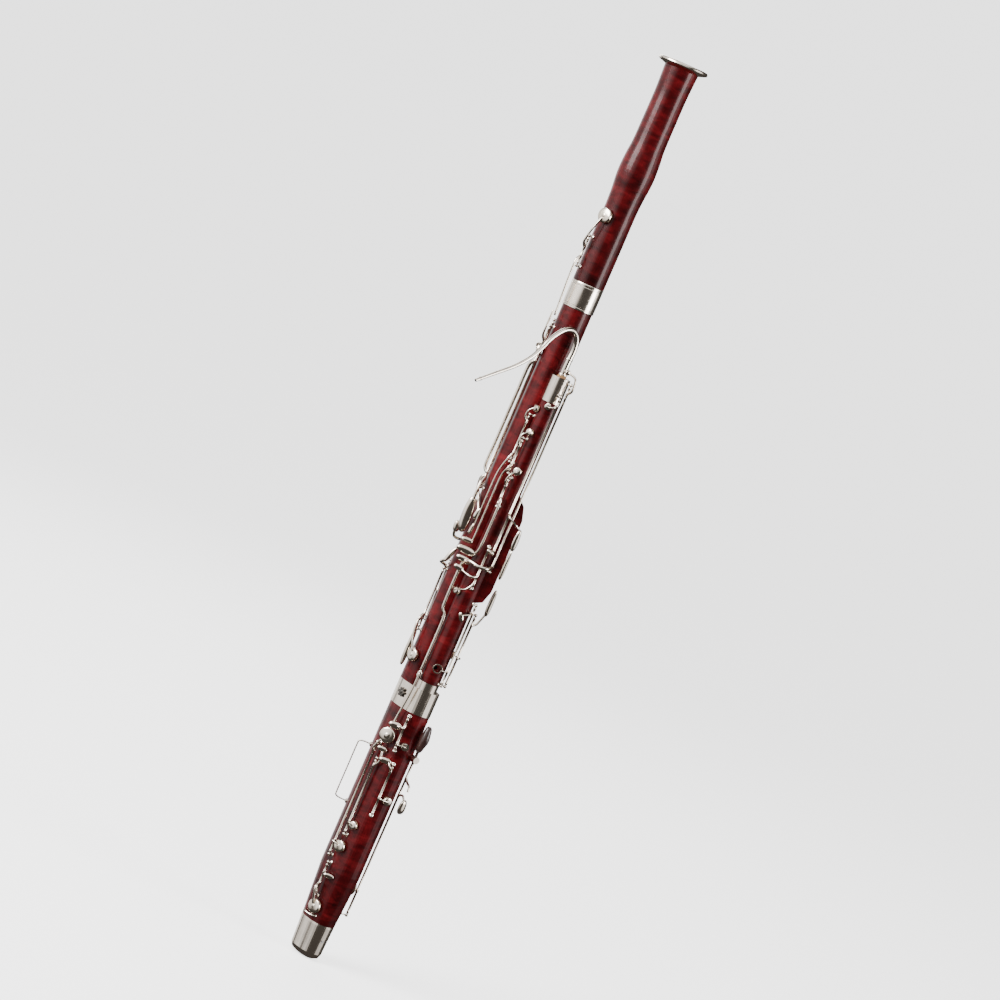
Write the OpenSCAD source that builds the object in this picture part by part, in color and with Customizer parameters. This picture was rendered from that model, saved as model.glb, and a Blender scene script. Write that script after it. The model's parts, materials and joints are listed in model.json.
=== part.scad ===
// Bassoon: boot, wing joint, bass joint, bell and bocal with their keywork.
// +Z runs up the instrument from the foot of the boot cap; -Y is the thumb side.

/* [Boot] */
// Height of the wooden boot, top edge above the foot
boot_top = 412; // [405:1:416]
// Width of the boot across both bores
boot_width = 70; // [69:0.5:73]
// Depth of the boot, thumb side to finger side
boot_depth = 46; // [46:0.5:49]
// Height of the metal cap over the return bend
cap_height = 52; // [50:1:56]
// Height at which the boot starts to narrow towards the cap
taper_height = 130; // [124:1:140]

/* [Bass joint] */
// Radius of the bass joint where it leaves the boot
bass_low_r = 22.6; // [22:0.1:22.8]
// Radius of the bass joint under the bell
bass_high_r = 21.7; // [21:0.1:22]
// Height of the shoulder under the bell
bass_top = 976; // [974:1:978]

/* [Bell] */
// Height of the bell rim, the full height of the instrument
bell_top = 1340; // [1335:1:1345]
// Radius of the rim ring
rim_r = 36; // [33:0.5:38]
// Radius of the bulge half way up the bell
bulge_r = 26; // [25:0.1:27]

/* [Wing joint] */
// Radius of the wing joint where it leaves the boot
wing_low_r = 15; // [14.6:0.1:15.2]
// Radius of the wing joint under its top ferrule
wing_high_r = 13; // [12.6:0.1:13.2]
// Height of the top of the wing joint
wing_top = 883; // [881:1:885]
// How far the epaule (finger flange) stands out from the wing axis
flange_reach = 29.5; // [28:0.5:30]

/* [Bocal] */
// Radius of the bocal at its wide end
bocal_wide_r = 4.75; // [4.6:0.05:4.8]
// Radius of the bocal at its reed end
bocal_tip_r = 2.2; // [2.1:0.05:2.4]
// Direction the bocal points in, turned from the thumb side
bocal_turn = 5; // [0:1:12]

/* [Keywork] */
// Radius of the steel hinge rods
rod_r = 0.9; // [0.8:0.05:0.95]
// Radial clearance of a key's hinge tube on its rod
rod_gap = 0.06; // [0.04:0.01:0.1]
// Outer radius of a key's hinge tube
tube_r = 1.9; // [1.8:0.05:2]
// Radius of the ball at the head of a post
post_ball_r = 2.4; // [2.2:0.05:2.5]

/* [Hidden] */
$fn = 48;
CORNER = 32;
thumb_turn = 50;
bass_axis = [-12, 0];
wing_axis = [20.5, -5];
bend_bass = [-11, 0];
bend_wing = [12.5, -2];
bend_r = 8.5;
oval_power = 2.3;
cap_width = 56;
cap_depth = 40;
band_low = 377;
band_wall = 1.4;
fit = 0.05;
bass_socket_r = 18.4;
wing_socket_r = 10.8;
socket_low = 374;
cork_wall = 1.3;
bass_bore_low = 12;
bass_bore_high = 15;
wing_bore_low = 6.6;
wing_bore_high = 4.6;
receiver_r = 6.3;
receiver_depth = 32;
bell_socket_r = 18.6;
ferrule_top = 1013;
ferrule_r = 23;
bell_low_r = 22.8;
bell_seat = 20.8;
wing_ferrule_low = 846;
wing_ferrule_r = 13.6;
scoop_gap = 0.8;
post_stem_r = 1.5;
post_gap = 3;
hole_extra = 0.02;
rest_x = 42;
rest_y = 9;
knob_point_u = -19;
knob_height = 396;
nipple_turn = 80;
nipple_height = 893;
screw_r = 2.2;
strap_bore_r = 4.7;
flange_turn = 140;
flange_half = 7.5;
pad_depth = 2;
cup_height = 2.6;
dome_height = 1.6;

// Points: across the thumb plane (u to the right, n out towards the thumb), and round an axis.
function across(u, n, z) = [u*cos(thumb_turn) + n*sin(thumb_turn),
                            u*sin(thumb_turn) - n*cos(thumb_turn), z];
function around(axis, phi, d, z) = [axis[0] + d*sin(phi), axis[1] - d*cos(phi), z];
function unit(v) = v/norm(v);
// Turn for a ball where bars leave towards a and b, which keeps its poles and seam clear of both.
function ball_turn(a, b) = let (
    z = unit(norm(cross(a, b)) > 0.05 ? cross(a, b) : cross(a, [0.31, 0.57, 0.76])),
    x = norm(a + b) > 0.3 ? -unit(a + b) : unit(cross(z, a)),
    y = cross(z, x))
    [[x[0], y[0], z[0], 0], [x[1], y[1], z[1], 0], [x[2], y[2], z[2], 0], [0, 0, 0, 1]];
function oval(w, d, steps = 48) = [for (i = [0:steps - 1]) let (a = 360*i/steps)
    [w/2*sign(cos(a))*pow(abs(cos(a)), 2/oval_power), d/2*sign(sin(a))*pow(abs(sin(a)), 2/oval_power)]];
// Front of an elliptical boot section at a distance u across the thumb plane.
function boot_front(u) = let (
    ka = 4/(boot_width*boot_width), kb = 4/(boot_depth*boot_depth), s = sin(thumb_turn), c = cos(thumb_turn),
    qa = s*s*ka + c*c*kb, qb = 2*u*c*s*(ka - kb), qc = u*u*(c*c*ka + s*s*kb) - 1)
    (-qb + sqrt(qb*qb - 4*qa*qc))/(2*qa) + 1;
function wing_front(u, d) = let (c = wing_u, n = wing_n) n + sqrt(d*d - (u - c)*(u - c));
wing_u = wing_axis[0]*cos(thumb_turn) + wing_axis[1]*sin(thumb_turn);
wing_n = wing_axis[0]*sin(thumb_turn) - wing_axis[1]*cos(thumb_turn);
// Point outside the boot at ellipse angle t, with its outward turn.
function boot_turn(t) = atan2(boot_depth*sin(t), boot_width*cos(t));
function boot_out(t, gap, z) = [boot_width/2*sin(t) + gap*sin(boot_turn(t)),
                                -boot_depth/2*cos(t) - gap*cos(boot_turn(t)), z];
// Smooth curve through points, a few steps to each span.
function mix(a, b, c, d, t) = 0.5*(2*b + (c - a)*t + (2*a - 5*b + 4*c - d)*t*t + (3*b - a - 3*c + d)*t*t*t);
function curve(p, steps) = let (n = len(p) - 1) concat(
    [for (i = [0:n - 1], k = [0:steps - 1])
        mix(p[max(0, i - 1)], p[i], p[i + 1], p[min(n, i + 2)], k/steps)], [p[n]]);
function boot_spine(p) = [max(-12, min(12, p[0])), 0];

// A hinge line: where the rod stands, the tube's ends, the axis its posts point at and their foot.
function hinge(p, low, high, axis, foot) = [[p[0], p[1]], low, high, axis, foot];

bell_hinge = hinge(around(bass_axis, -13, 28, 0), 1034, 1072, bass_axis, 20.3);
lever_hinge = hinge(around(bass_axis, -18, 27, 0), 702, 938, bass_axis, 19.5);
low_b_hinge = hinge(around(bass_axis, -70, 27, 0), 702, 946, bass_axis, 19.5);
low_c_hinge = hinge(around(bass_axis, -104, 27, 0), 606, 690, bass_axis, 19.5);
low_d_hinge = hinge(around(bass_axis, -30, 27, 0), 486, 572, bass_axis, 19.5);
low_eb_hinge = hinge(around(bass_axis, -72, 27, 0), 500, 584, bass_axis, 19.5);
whisper_hinge = hinge(across(25.8, wing_front(25.8, 19.5), 0), 602, 876, wing_axis, 11.4);
trill_hinge = hinge(across(19, wing_front(19, 19.5), 0), 628, 856, wing_axis, 11.4);
high_d_hinge = hinge(around(wing_axis, -30, 19.5, 0), 752, 817, wing_axis, 11.4);
high_c_hinge = hinge(around(wing_axis, 0, 19.5, 0), 738, 784, wing_axis, 11.4);
high_a_hinge = hinge(around(wing_axis, 16, 19.5, 0), 690, 727, wing_axis, 11.4);
c_sharp_hinge = hinge(across(12, wing_front(12, 19.5), 0), 572, 628, wing_axis, 11.4);
ring_hinge = hinge(across(27, wing_front(27, 19.5), 0), 430, 546, wing_axis, 12.5);
eb_finger_hinge = hinge(across(32, 18, 0), 430, 532, wing_axis, 12);
e_point = boot_out(-2, 5.5, 0);
e_hinge = hinge(e_point, 150, 316, boot_spine(e_point), 19);
f_sharp_point = boot_out(15, 5.5, 0);
f_sharp_hinge = hinge(f_sharp_point, 186, 296, boot_spine(f_sharp_point), 19);
bb_point = boot_out(47, 5.5, 0);
bb_hinge = hinge(bb_point, 322, 368, boot_spine(bb_point), 19);
ab_point = boot_out(59, 5.5, 0);
ab_hinge = hinge(ab_point, 226, 298, boot_spine(ab_point), 19);
low_f_point = boot_out(5, 4.5, 0);
low_f_hinge = hinge(low_f_point, 90, 134, boot_spine(low_f_point), 12);
ab_finger_point = [20, 27];
ab_finger_hinge = hinge(ab_finger_point, 76, 338, boot_spine(ab_finger_point), 15);
g_point = [-6, 29];
g_hinge = hinge(g_point, 190, 330, boot_spine(g_point), 19);

BOOT_HINGES = [e_hinge, f_sharp_hinge, bb_hinge, ab_hinge, low_f_hinge, ab_finger_hinge, g_hinge];
BASS_HINGES = [lever_hinge, low_b_hinge, low_c_hinge, low_d_hinge, low_eb_hinge];
WING_HINGES = [whisper_hinge, trill_hinge, high_d_hinge, high_c_hinge, high_a_hinge, c_sharp_hinge,
               ring_hinge, eb_finger_hinge];

// Bocal path in its own upright plane: reach from the wing axis and height.
BOCAL = [[0, wing_top - 31], [0, wing_top - 10], [0, 905], [-1, 925], [3, 940], [15, 948.5], [31, 945],
         [47, 929.5], [57.5, 911], [69, 895], [90, 877], [120, 858], [140, 845.5]];
tip_length = 9;

// ---- shared shapes ----

module along(from, to) {
    d = to - from;
    translate(from) rotate([0, acos(d[2]/norm(d)), atan2(d[1], d[0])]) children();
}

module bar(from, to, r) {
    along(from, to) cylinder(h = norm(to - from), r = r, $fn = CORNER);
}

// Bent round wire or lever: straight bars with a slightly larger ball at each point.
module limb(points, r) {
    last = len(points) - 1;
    for (i = [0:last - 1]) bar(points[i], points[i + 1], r);
    for (i = [0:last]) {
        back = unit(i > 0 ? points[i - 1] - points[i] : points[1] - points[0]);
        ahead = unit(i < last ? points[i + 1] - points[i] : points[last - 1] - points[last]);
        translate(points[i]) multmatrix(ball_turn(back, ahead)) sphere(r = r*1.12, $fn = CORNER);
    }
}

// Places a child so that its +Z points outwards at turn phi and its +Y stays upright.
module facing(p, phi) {
    translate(p) rotate([0, 0, phi]) rotate([90, 0, 0]) children();
}

module cup(p, phi, r) {
    facing(p, phi) {
        cylinder(h = cup_height, r = r);
        translate([0, 0, cup_height]) cylinder(h = dome_height, r1 = r*0.94, r2 = r*0.5);
    }
}

module pad(p, phi, r) {
    facing(p, phi) translate([0, 0, -pad_depth]) cylinder(h = pad_depth - fit, r = r - 0.8);
}

// Flat oval finger or thumb touch, long way upright before it is tilted.
module touch(p, phi, length, width, tilt = 0, thick = 2) {
    facing(p, phi) rotate([0, 0, tilt]) hull() {
        for (s = [-1, 1]) translate([0, s*(length - width)/2, 0]) {
            cylinder(h = thick*0.6, r = width/2, $fn = CORNER);
            translate([0, 0, -thick*0.2]) cylinder(h = thick, r = width/2 - 1, $fn = CORNER);
        }
    }
}

module key(h) {
    difference() {
        union() {
            translate([h[0][0], h[0][1], h[1]]) cylinder(h = h[2] - h[1], r = tube_r);
            children();
        }
        translate([h[0][0], h[0][1], h[1] - 1]) cylinder(h = h[2] - h[1] + 2, r = rod_r + rod_gap);
    }
}

function on(h, z) = [h[0][0], h[0][1], z];

module post(h, z) {
    inwards = [h[3][0] - h[0][0], h[3][1] - h[0][1]];
    foot = h[3] - inwards/norm(inwards)*h[4];
    difference() {
        union() {
            translate(on(h, z)) sphere(r = post_ball_r);
            bar(on(h, z), [foot[0], foot[1], z], post_stem_r);
        }
        translate(on(h, z - 4)) cylinder(h = 8, r = rod_r + hole_extra);
    }
}

module posts(hinges) {
    for (h = hinges) {
        post(h, h[1] - post_gap);
        post(h, h[2] + post_gap);
    }
}

module rods(hinges) {
    for (h = hinges) translate(on(h, h[1] - post_gap - 2))
        cylinder(h = h[2] - h[1] + 2*post_gap + 4, r = rod_r);
}

module at_bass() {
    translate([bass_axis[0], bass_axis[1], 0]) children();
}

module at_wing() {
    translate([wing_axis[0], wing_axis[1], 0]) children();
}

module oval_slab(w, d, low, high) {
    translate([0, 0, low]) linear_extrude(height = high - low) polygon(oval(w, d));
}

// ---- boot ----

module boot_body() {
    color("firebrick") difference() {
        union() {
            oval_slab(boot_width - 2*band_wall, boot_depth - 2*band_wall, band_low - 1, boot_top - 1);
            oval_slab(boot_width, boot_depth, taper_height, band_low);
            hull() {
                oval_slab(boot_width, boot_depth, taper_height - 0.5, taper_height);
                oval_slab(cap_width, cap_depth, cap_height, cap_height + 0.5);
            }
        }
        at_bass() translate([0, 0, socket_low]) cylinder(h = boot_top, r = bass_socket_r);
        at_wing() translate([0, 0, socket_low]) cylinder(h = boot_top, r = wing_socket_r);
        bore_line(bass_axis, bend_bass, 11.5);
        bore_line(wing_axis, bend_wing, 7);
        lock_hole();
        tone_hole([0, 0], 0, 73, 6, 12);
        facing(boot_out(17, -9, 165), boot_turn(17)) cylinder(h = 20, r = 5);
        tone_hole([5, 0], 180, 110, 7, 10);
        tone_hole([-12, 0], 180, 225, 5, 10);
    }
}

module bore_line(high_end, low_end, high_r) {
    low = [low_end[0], low_end[1], cap_height - 1];
    high = [high_end[0], high_end[1], socket_low + 1];
    along(low, high) cylinder(h = norm(high - low), r1 = bend_r, r2 = high_r);
}

module boot_top_band() {
    color("silver") difference() {
        oval_slab(boot_width + 0.8, boot_depth + 0.8, band_low, boot_top);
        oval_slab(boot_width - 2*band_wall + 2*fit, boot_depth - 2*band_wall + 2*fit,
                  band_low - 1, boot_top - 0.95);
        at_bass() translate([0, 0, socket_low]) cylinder(h = boot_top, r = bass_socket_r);
        at_wing() translate([0, 0, socket_low]) cylinder(h = boot_top, r = wing_socket_r);
        lock_hole();
    }
}

module boot_cap() {
    wall = 1.6;
    color("silver") difference() {
        hull() {
            oval_slab(cap_width - 20, cap_depth - 20, 0, 1);
            oval_slab(cap_width - 8, cap_depth - 8, 3, 4);
            oval_slab(cap_width - 3.4, cap_depth - 3.4, 9, 10);
            oval_slab(cap_width, cap_depth, cap_height - 3, cap_height - fit);
        }
        oval_slab(cap_width - 10, cap_depth - 10, 6, 12);
        oval_slab(cap_width - 2*wall - 4, cap_depth - 2*wall - 4, 10, cap_height + 1);
        for (s = [-1, 1]) translate([s*24, 0, 30]) rotate([0, s*90, 0]) cylinder(h = 8, r = screw_r + fit);
    }
}

module cap_screws() {
    color("dimgray") for (s = [-1, 1]) translate([s*25.6, 0, 30]) rotate([0, s*90, 0])
        cylinder(h = 2.4, r = screw_r);
}

module return_bend() {
    centre = (bend_bass + bend_wing)/2;
    spread = norm(bend_wing - bend_bass)/2;
    turn = atan2(bend_wing[1] - bend_bass[1], bend_wing[0] - bend_bass[0]);
    color("silver") difference() {
        union() {
            translate([centre[0], centre[1], cap_height - 3]) rotate([-90, 0, turn])
                rotate_extrude(angle = 180) translate([spread, 0]) circle(r = bend_r + 0.9);
            oval_slab(cap_width - 8, cap_depth - 8, cap_height - 3, cap_height - fit);
        }
        translate([centre[0], centre[1], cap_height - 3]) rotate([-90, 0, turn])
            rotate_extrude(angle = 180) translate([spread, 0]) circle(r = bend_r);
        for (p = [bend_bass, bend_wing]) translate([p[0], p[1], cap_height - 3.4])
            cylinder(h = 8, r = bend_r + 0.4);
    }
}

module boot_posts() {
    color("silver") posts(BOOT_HINGES);
}

module boot_rods() {
    color("gray") rods(BOOT_HINGES);
}

module wire_guard() {
    color("silver") limb([across(-25, -11.4, 307), across(-44, -11.4, 306), across(-48, -11.4, 301),
                          across(-48, -11.4, 226), across(-44, -11.4, 220), across(-25, -11.4, 220)], 1);
}

module pad_guard() {
    color("silver") {
        for (s = [0, 1]) bar(across(-22 + 17*s, 6 + 10*s, 60), across(-23 + 17*s, 15 + 8*s, 60), 1.2);
        limb([across(-23, 15, 60), across(-15, 21, 59), across(-6, 23, 60)], 1.5);
    }
}

module hand_rest_socket() {
    color("silver") difference() {
        translate([rest_x - 8, rest_y, 318]) rotate([0, 90, 0]) cylinder(h = 13, r = 5);
        translate([rest_x, rest_y, 310]) cylinder(h = 16, r = 2.05);
    }
}

module hand_rest() {
    color("dimgray") {
        translate([rest_x, rest_y, 311]) cylinder(h = 20, r = 2);
        hull() {
            translate([rest_x, rest_y, 333]) sphere(r = 5, $fn = 24);
            translate([rest_x + 1.5, rest_y + 1, 348]) sphere(r = 7, $fn = 24);
            translate([rest_x, rest_y + 2, 364]) sphere(r = 5, $fn = 24);
        }
    }
}

module strap_ring() {
    color("silver") {
        difference() {
            union() {
                translate([-15.3, 31.2, 395]) rotate([0, 90, 0]) cylinder(h = 2.6, r = 7.2);
                translate([-14, 21, 395]) rotate([-90, 0, 0]) cylinder(h = 5, r = 2.4);
            }
            translate([-20, 31.2, 395]) rotate([0, 90, 0]) cylinder(h = 12, r = strap_bore_r);
        }
    }
}

module lock_hole() {
    facing(knob_point(), 0) translate([0, 0, -5]) cylinder(h = 8, r = 1.5 + rod_gap);
}

function knob_point() = let (p = across(knob_point_u, boot_front(knob_point_u), knob_height))
    [p[0], -boot_depth/2 - 1, p[2]];

module lock_knob() {
    color("dimgray") facing(knob_point(), 0) {
        translate([0, 0, -4]) cylinder(h = 5, r = 1.5);
        cylinder(h = 2.4, r = 4.6);
        for (i = [0:5]) rotate([0, 0, 60*i]) translate([5, 0, 0]) cylinder(h = 2.4, r = 1.9);
        translate([0, 0, 2.4]) cylinder(h = 1, r1 = 3, r2 = 2);
    }
}

// ---- bass joint ----

module tone_hole(axis, phi, z, r, depth) {
    facing(around(axis, phi, depth, z), phi) cylinder(h = 40, r = r);
}

module bass_body() {
    color("firebrick") difference() {
        at_bass() rotate_extrude($fn = 96) polygon([
            [bass_bore_low, socket_low + 0.5], [bass_socket_r - cork_wall - fit, socket_low + 0.5],
            [bass_socket_r - cork_wall - fit, boot_top + fit], [bass_low_r, boot_top + fit],
            [bass_high_r, bass_top - fit], [bell_socket_r - cork_wall - fit, bass_top - fit],
            [bell_socket_r - cork_wall - fit, bass_top + 32], [bass_bore_high, bass_top + 32]]);
        tone_hole(bass_axis, -44, 905, 7, 13);
        tone_hole(bass_axis, -72, 668, 8, 12);
        tone_hole(bass_axis, -104, 540, 6, 12);
        tone_hole(bass_axis, 6, 449, 6, 12);
    }
}

module sleeve(r_in, r_out, low, high) {
    translate([0, 0, low]) difference() {
        cylinder(h = high - low, r = r_out);
        translate([0, 0, -1]) cylinder(h = high - low + 2, r = r_in);
    }
}

module bass_corks() {
    color("peru") at_bass() {
        sleeve(bass_socket_r - cork_wall, bass_socket_r - fit, socket_low + 3, boot_top - 4);
        sleeve(bell_socket_r - cork_wall, bell_socket_r - fit, bass_top + 4, bass_top + 29);
    }
}

module bass_posts() {
    color("silver") posts(BASS_HINGES);
}

module bass_rods() {
    color("gray") rods(BASS_HINGES);
}

// ---- wing joint ----

module scoop() {
    at_bass() translate([0, 0, boot_top - 1]) cylinder(h = wing_top, r1 = bass_low_r + scoop_gap,
        r2 = bass_high_r + scoop_gap, $fn = 96);
}

FINGER_HOLES = [[168, 700], [165, 655], [160, 610]];

module wing_body() {
    flange = [[8, 548], [24, 556], [flange_reach, 574], [flange_reach, 680], [24, 698], [8, 716]];
    color("firebrick") difference() {
        union() {
            at_wing() rotate_extrude($fn = 96) polygon([
                [0, socket_low + 0.5], [wing_socket_r - cork_wall - fit, socket_low + 0.5],
                [wing_socket_r - cork_wall - fit, boot_top + fit], [wing_low_r - 1.6, boot_top + fit],
                [wing_low_r - 1.6, 424], [wing_low_r, 424], [wing_high_r, wing_ferrule_low],
                [wing_ferrule_r - 1.2, wing_ferrule_low], [wing_ferrule_r - 1.2, wing_top - 1],
                [0, wing_top - 1]]);
            at_wing() rotate([0, 0, flange_turn - 90]) rotate([90, 0, 0])
                translate([0, 0, -flange_half]) linear_extrude(height = 2*flange_half) polygon(flange);
        }
        scoop();
        at_wing() translate([0, 0, socket_low]) cylinder(h = wing_top - receiver_depth - socket_low,
            r1 = wing_bore_low + 1 + fit, r2 = wing_bore_high + 1 + fit);
        at_wing() translate([0, 0, wing_top - receiver_depth - 1])
            cylinder(h = receiver_depth + 2, r = receiver_r);
        wing_holes();
    }
}

module wing_holes() {
    for (h = FINGER_HOLES) tone_hole(wing_axis, h[0], h[1], 2.6, 0);
    tone_hole(wing_axis, 50, 448.5, 3, 0);
    tone_hole(wing_axis, 36, 742, 2.6, 0);
    tone_hole(wing_axis, 12, 798, 2.2, 0);
    tone_hole(wing_axis, -18, 831, 2.2, 0);
    tone_hole(wing_axis, 46, 840, 2, 0);
}

module wing_ferrule() {
    color("silver") difference() {
        at_wing() translate([0, 0, wing_ferrule_low + fit])
            cylinder(h = wing_top - wing_ferrule_low, r = wing_ferrule_r);
        at_wing() translate([0, 0, wing_ferrule_low - 1])
            cylinder(h = wing_top - wing_ferrule_low, r = wing_ferrule_r - 1.2 + fit);
        at_wing() translate([0, 0, wing_ferrule_low]) cylinder(h = 50, r = receiver_r);
        scoop();
    }
}

module wing_low_ring() {
    color("silver") difference() {
        at_wing() sleeve(wing_low_r - 1.6 + fit, wing_low_r + 0.4, boot_top + 2*fit, 424 - fit);
        scoop();
    }
}

module wing_cork() {
    color("peru") at_wing()
        sleeve(wing_socket_r - cork_wall, wing_socket_r - fit, socket_low + 3, boot_top - 4);
}

module wing_liner() {
    color("black") difference() {
        at_wing() rotate_extrude() polygon([
            [wing_bore_low, socket_low + 0.5], [wing_bore_low + 1, socket_low + 0.5],
            [wing_bore_high + 1, wing_top - receiver_depth], [wing_bore_high, wing_top - receiver_depth]]);
        wing_holes();
    }
}

module wing_posts() {
    color("silver") posts(WING_HINGES);
}

module wing_rods() {
    color("gray") rods(WING_HINGES);
}

// ---- bell ----

BELL_OUTSIDE = [[bell_low_r, ferrule_top], [bell_low_r, 1080], [22.6, 1122], [23.8, 1148],
                [bulge_r - 0.6, 1164], [bulge_r, 1179], [25, 1200], [23.2, 1220], [22.8, 1260],
                [22.8, 1295], [24.4, bell_top - 9]];

module bell_body() {
    color("firebrick") difference() {
        at_bass() rotate_extrude($fn = 96) polygon(concat(
            [[bell_socket_r, bass_top + fit], [bell_seat, bass_top + fit], [bell_seat, ferrule_top]],
            curve(BELL_OUTSIDE, 4),
            [[20.2, bell_top - 9], [bass_bore_high + 0.4, bass_top + 33], [bell_socket_r, bass_top + 33]]));
        tone_hole(bass_axis, 12, 1109, 8, 15);
    }
}

module bell_ferrule() {
    color("silver") at_bass() sleeve(bell_seat + fit, ferrule_r, bass_top + fit, ferrule_top - fit);
}

module bell_rim() {
    low = bell_top - 9 + fit;
    color("silver") at_bass() rotate_extrude($fn = 96) polygon([
        [20.4, low], [24.6, low], [32.5, low + 2.6], [rim_r - 0.6, low + 4], [rim_r, low + 5.4],
        [rim_r - 0.3, bell_top - 1.8], [rim_r - 1.2, bell_top - 0.6], [rim_r - 2.6, bell_top],
        [22, bell_top], [20.4, bell_top - 1.6]]);
}

module bell_posts() {
    color("silver") posts([bell_hinge]);
}

module bell_rod() {
    color("gray") rods([bell_hinge]);
}

// ---- bocal ----

BOCAL_PATH = curve(BOCAL, 4);
function bocal_slope(i) = let (a = BOCAL_PATH[max(0, i - 1)], b = BOCAL_PATH[min(len(BOCAL_PATH) - 1, i + 1)])
    atan2(b[0] - a[0], b[1] - a[1]);
function bocal_radius(i) = bocal_wide_r + (bocal_tip_r - bocal_wide_r)*i/(len(BOCAL_PATH) - 1);

// One ring of points round the bocal, in its own plane: x reach, y sideways, z up.
function bocal_ring(i, r, sides) = [for (k = [0:sides - 1]) let (t = 360*k/sides, a = bocal_slope(i))
    [BOCAL_PATH[i][0] + r*cos(t)*cos(a), r*sin(t), BOCAL_PATH[i][1] - r*cos(t)*sin(a)]];

module bocal_tube() {
    sides = 14;
    rings = len(BOCAL_PATH);
    outside = [for (i = [0:rings - 1]) each bocal_ring(i, bocal_radius(i), sides)];
    inside = [for (i = [0:rings - 1]) each bocal_ring(i, bocal_radius(i) - 0.7, sides)];
    shift = rings*sides;
    skin = [for (i = [0:rings - 2], k = [0:sides - 1]) let (j = (k + 1)%sides, a = i*sides, b = a + sides)
        each [[a + k, b + k, a + j], [a + j, b + k, b + j],
              [shift + a + k, shift + a + j, shift + b + k], [shift + a + j, shift + b + j, shift + b + k]]];
    last = (rings - 1)*sides;
    ends = [for (k = [0:sides - 1]) let (j = (k + 1)%sides)
        each [[k, shift + j, shift + k], [k, j, shift + j],
              [last + k, shift + last + j, last + j], [last + k, shift + last + k, shift + last + j]]];
    tip = BOCAL_PATH[rings - 1];
    lean = bocal_slope(rings - 1);
    color("silver") at_wing() rotate([0, 0, bocal_turn - 90]) {
        polyhedron(concat(outside, inside), concat(skin, ends));
        translate([tip[0], 0, tip[1]]) rotate([0, lean, 0]) translate([0, 0, -1]) difference() {
            union() {
                cylinder(h = tip_length + 1, r = bocal_tip_r);
                cylinder(h = 2.4, r = bocal_tip_r + 0.5);
            }
            translate([0, 0, -2]) cylinder(h = tip_length + 5, r = bocal_tip_r - 0.55);
        }
    }
}

module bocal_cork() {
    color("peru") at_wing() sleeve(bocal_wide_r + fit, receiver_r - fit, wing_top - 29, wing_top + 3);
}

module bocal_nipple() {
    color("silver") difference() {
        union() {
            facing(around(wing_axis, nipple_turn, 4, nipple_height), nipple_turn) cylinder(h = 3.2, r = 1.3);
            facing(around(wing_axis, nipple_turn, 4, nipple_height), nipple_turn) cylinder(h = 1.4, r = 2.2);
        }
        at_wing() translate([0, 0, nipple_height - 6]) cylinder(h = 12, r = bocal_wide_r);
        facing(around(wing_axis, nipple_turn, 0, nipple_height), nipple_turn) cylinder(h = 9, r = 0.4);
    }
}

// ---- bell and bass joint keys ----

module low_bb_bell_key() {
    h = bell_hinge;
    color("gainsboro") key(h) {
        limb([on(h, 1058), around(bass_axis, -8, 34, 1066), around(bass_axis, 0, 33.5, 1084),
              around(bass_axis, 11, 30.5, 1104)], 1.6);
        cup(around(bass_axis, 12, 26.5, 1109), 12, 11);
        limb([on(h, 1046), around(bass_axis, -8.5, 34, 1037), around(bass_axis, -8.5, 33.5, 1010),
              around(bass_axis, -9, 30, 958)], 1.5);
    }
}

module low_bb_bell_pad() {
    color("linen") pad(around(bass_axis, 12, 26.5, 1109), 12, 11);
}

module low_bb_lever() {
    h = lever_hinge;
    color("gainsboro") key(h) {
        limb([on(h, 918), around(bass_axis, -13, 33, 926), around(bass_axis, -9.5, 34.8, 938),
              around(bass_axis, -9, 34.8, 962)], 1.5);
        limb([on(h, 714), across(-35, 8, 706), across(-35, 11.5, 694), across(-35, 12, 682)], 2);
        limb([on(h, 887.3), around(bass_axis, -28, 31.3, 876), around(bass_axis, -27, 32, 733),
              on(h, 719.4)], 2);
        touch(across(-34.5, 11, 658.5), thumb_turn, 53, 15, 3, 2.4);
    }
}

module low_b_key() {
    h = low_b_hinge;
    color("gainsboro") key(h) {
        limb([on(h, 912), around(bass_axis, -67, 32, 912), around(bass_axis, -55, 33, 910),
              around(bass_axis, -45, 30.3, 906)], 1.6);
        cup(around(bass_axis, -44, 26.5, 905), -44, 9.8);
        limb([on(h, 716), around(bass_axis, -62, 32, 709), around(bass_axis, -40, 28.5, 697),
              across(-31.9, 0.2, 690), across(-24.8, 12.2, 675), across(-22.5, 16, 669)], 1.6);
        touch(across(-21.5, 15.5, 665), thumb_turn, 18, 9, -8);
    }
}

module low_b_pad() {
    color("linen") pad(around(bass_axis, -44, 26.5, 905), -44, 9.8);
}

module low_c_key() {
    h = low_c_hinge;
    color("gainsboro") key(h) {
        limb([on(h, 666), around(bass_axis, -98, 32.4, 667.2), around(bass_axis, -85, 32.8, 668.6),
              around(bass_axis, -74, 30.4, 667.8)], 1.6);
        cup(around(bass_axis, -72, 26.5, 668), -72, 11);
        limb([on(h, 621), around(bass_axis, -97, 32.2, 618.4), around(bass_axis, -77, 33.2, 617.4),
              around(bass_axis, -56, 33.4, 620.2), around(bass_axis, -39, 33.8, 626),
              across(-41.2, 0.5, 631)], 1.7);
        touch(across(-41.5, 0, 636), thumb_turn, 17, 9, 10);
    }
}

module low_c_pad() {
    color("linen") pad(around(bass_axis, -72, 26.5, 668), -72, 11);
}

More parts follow.
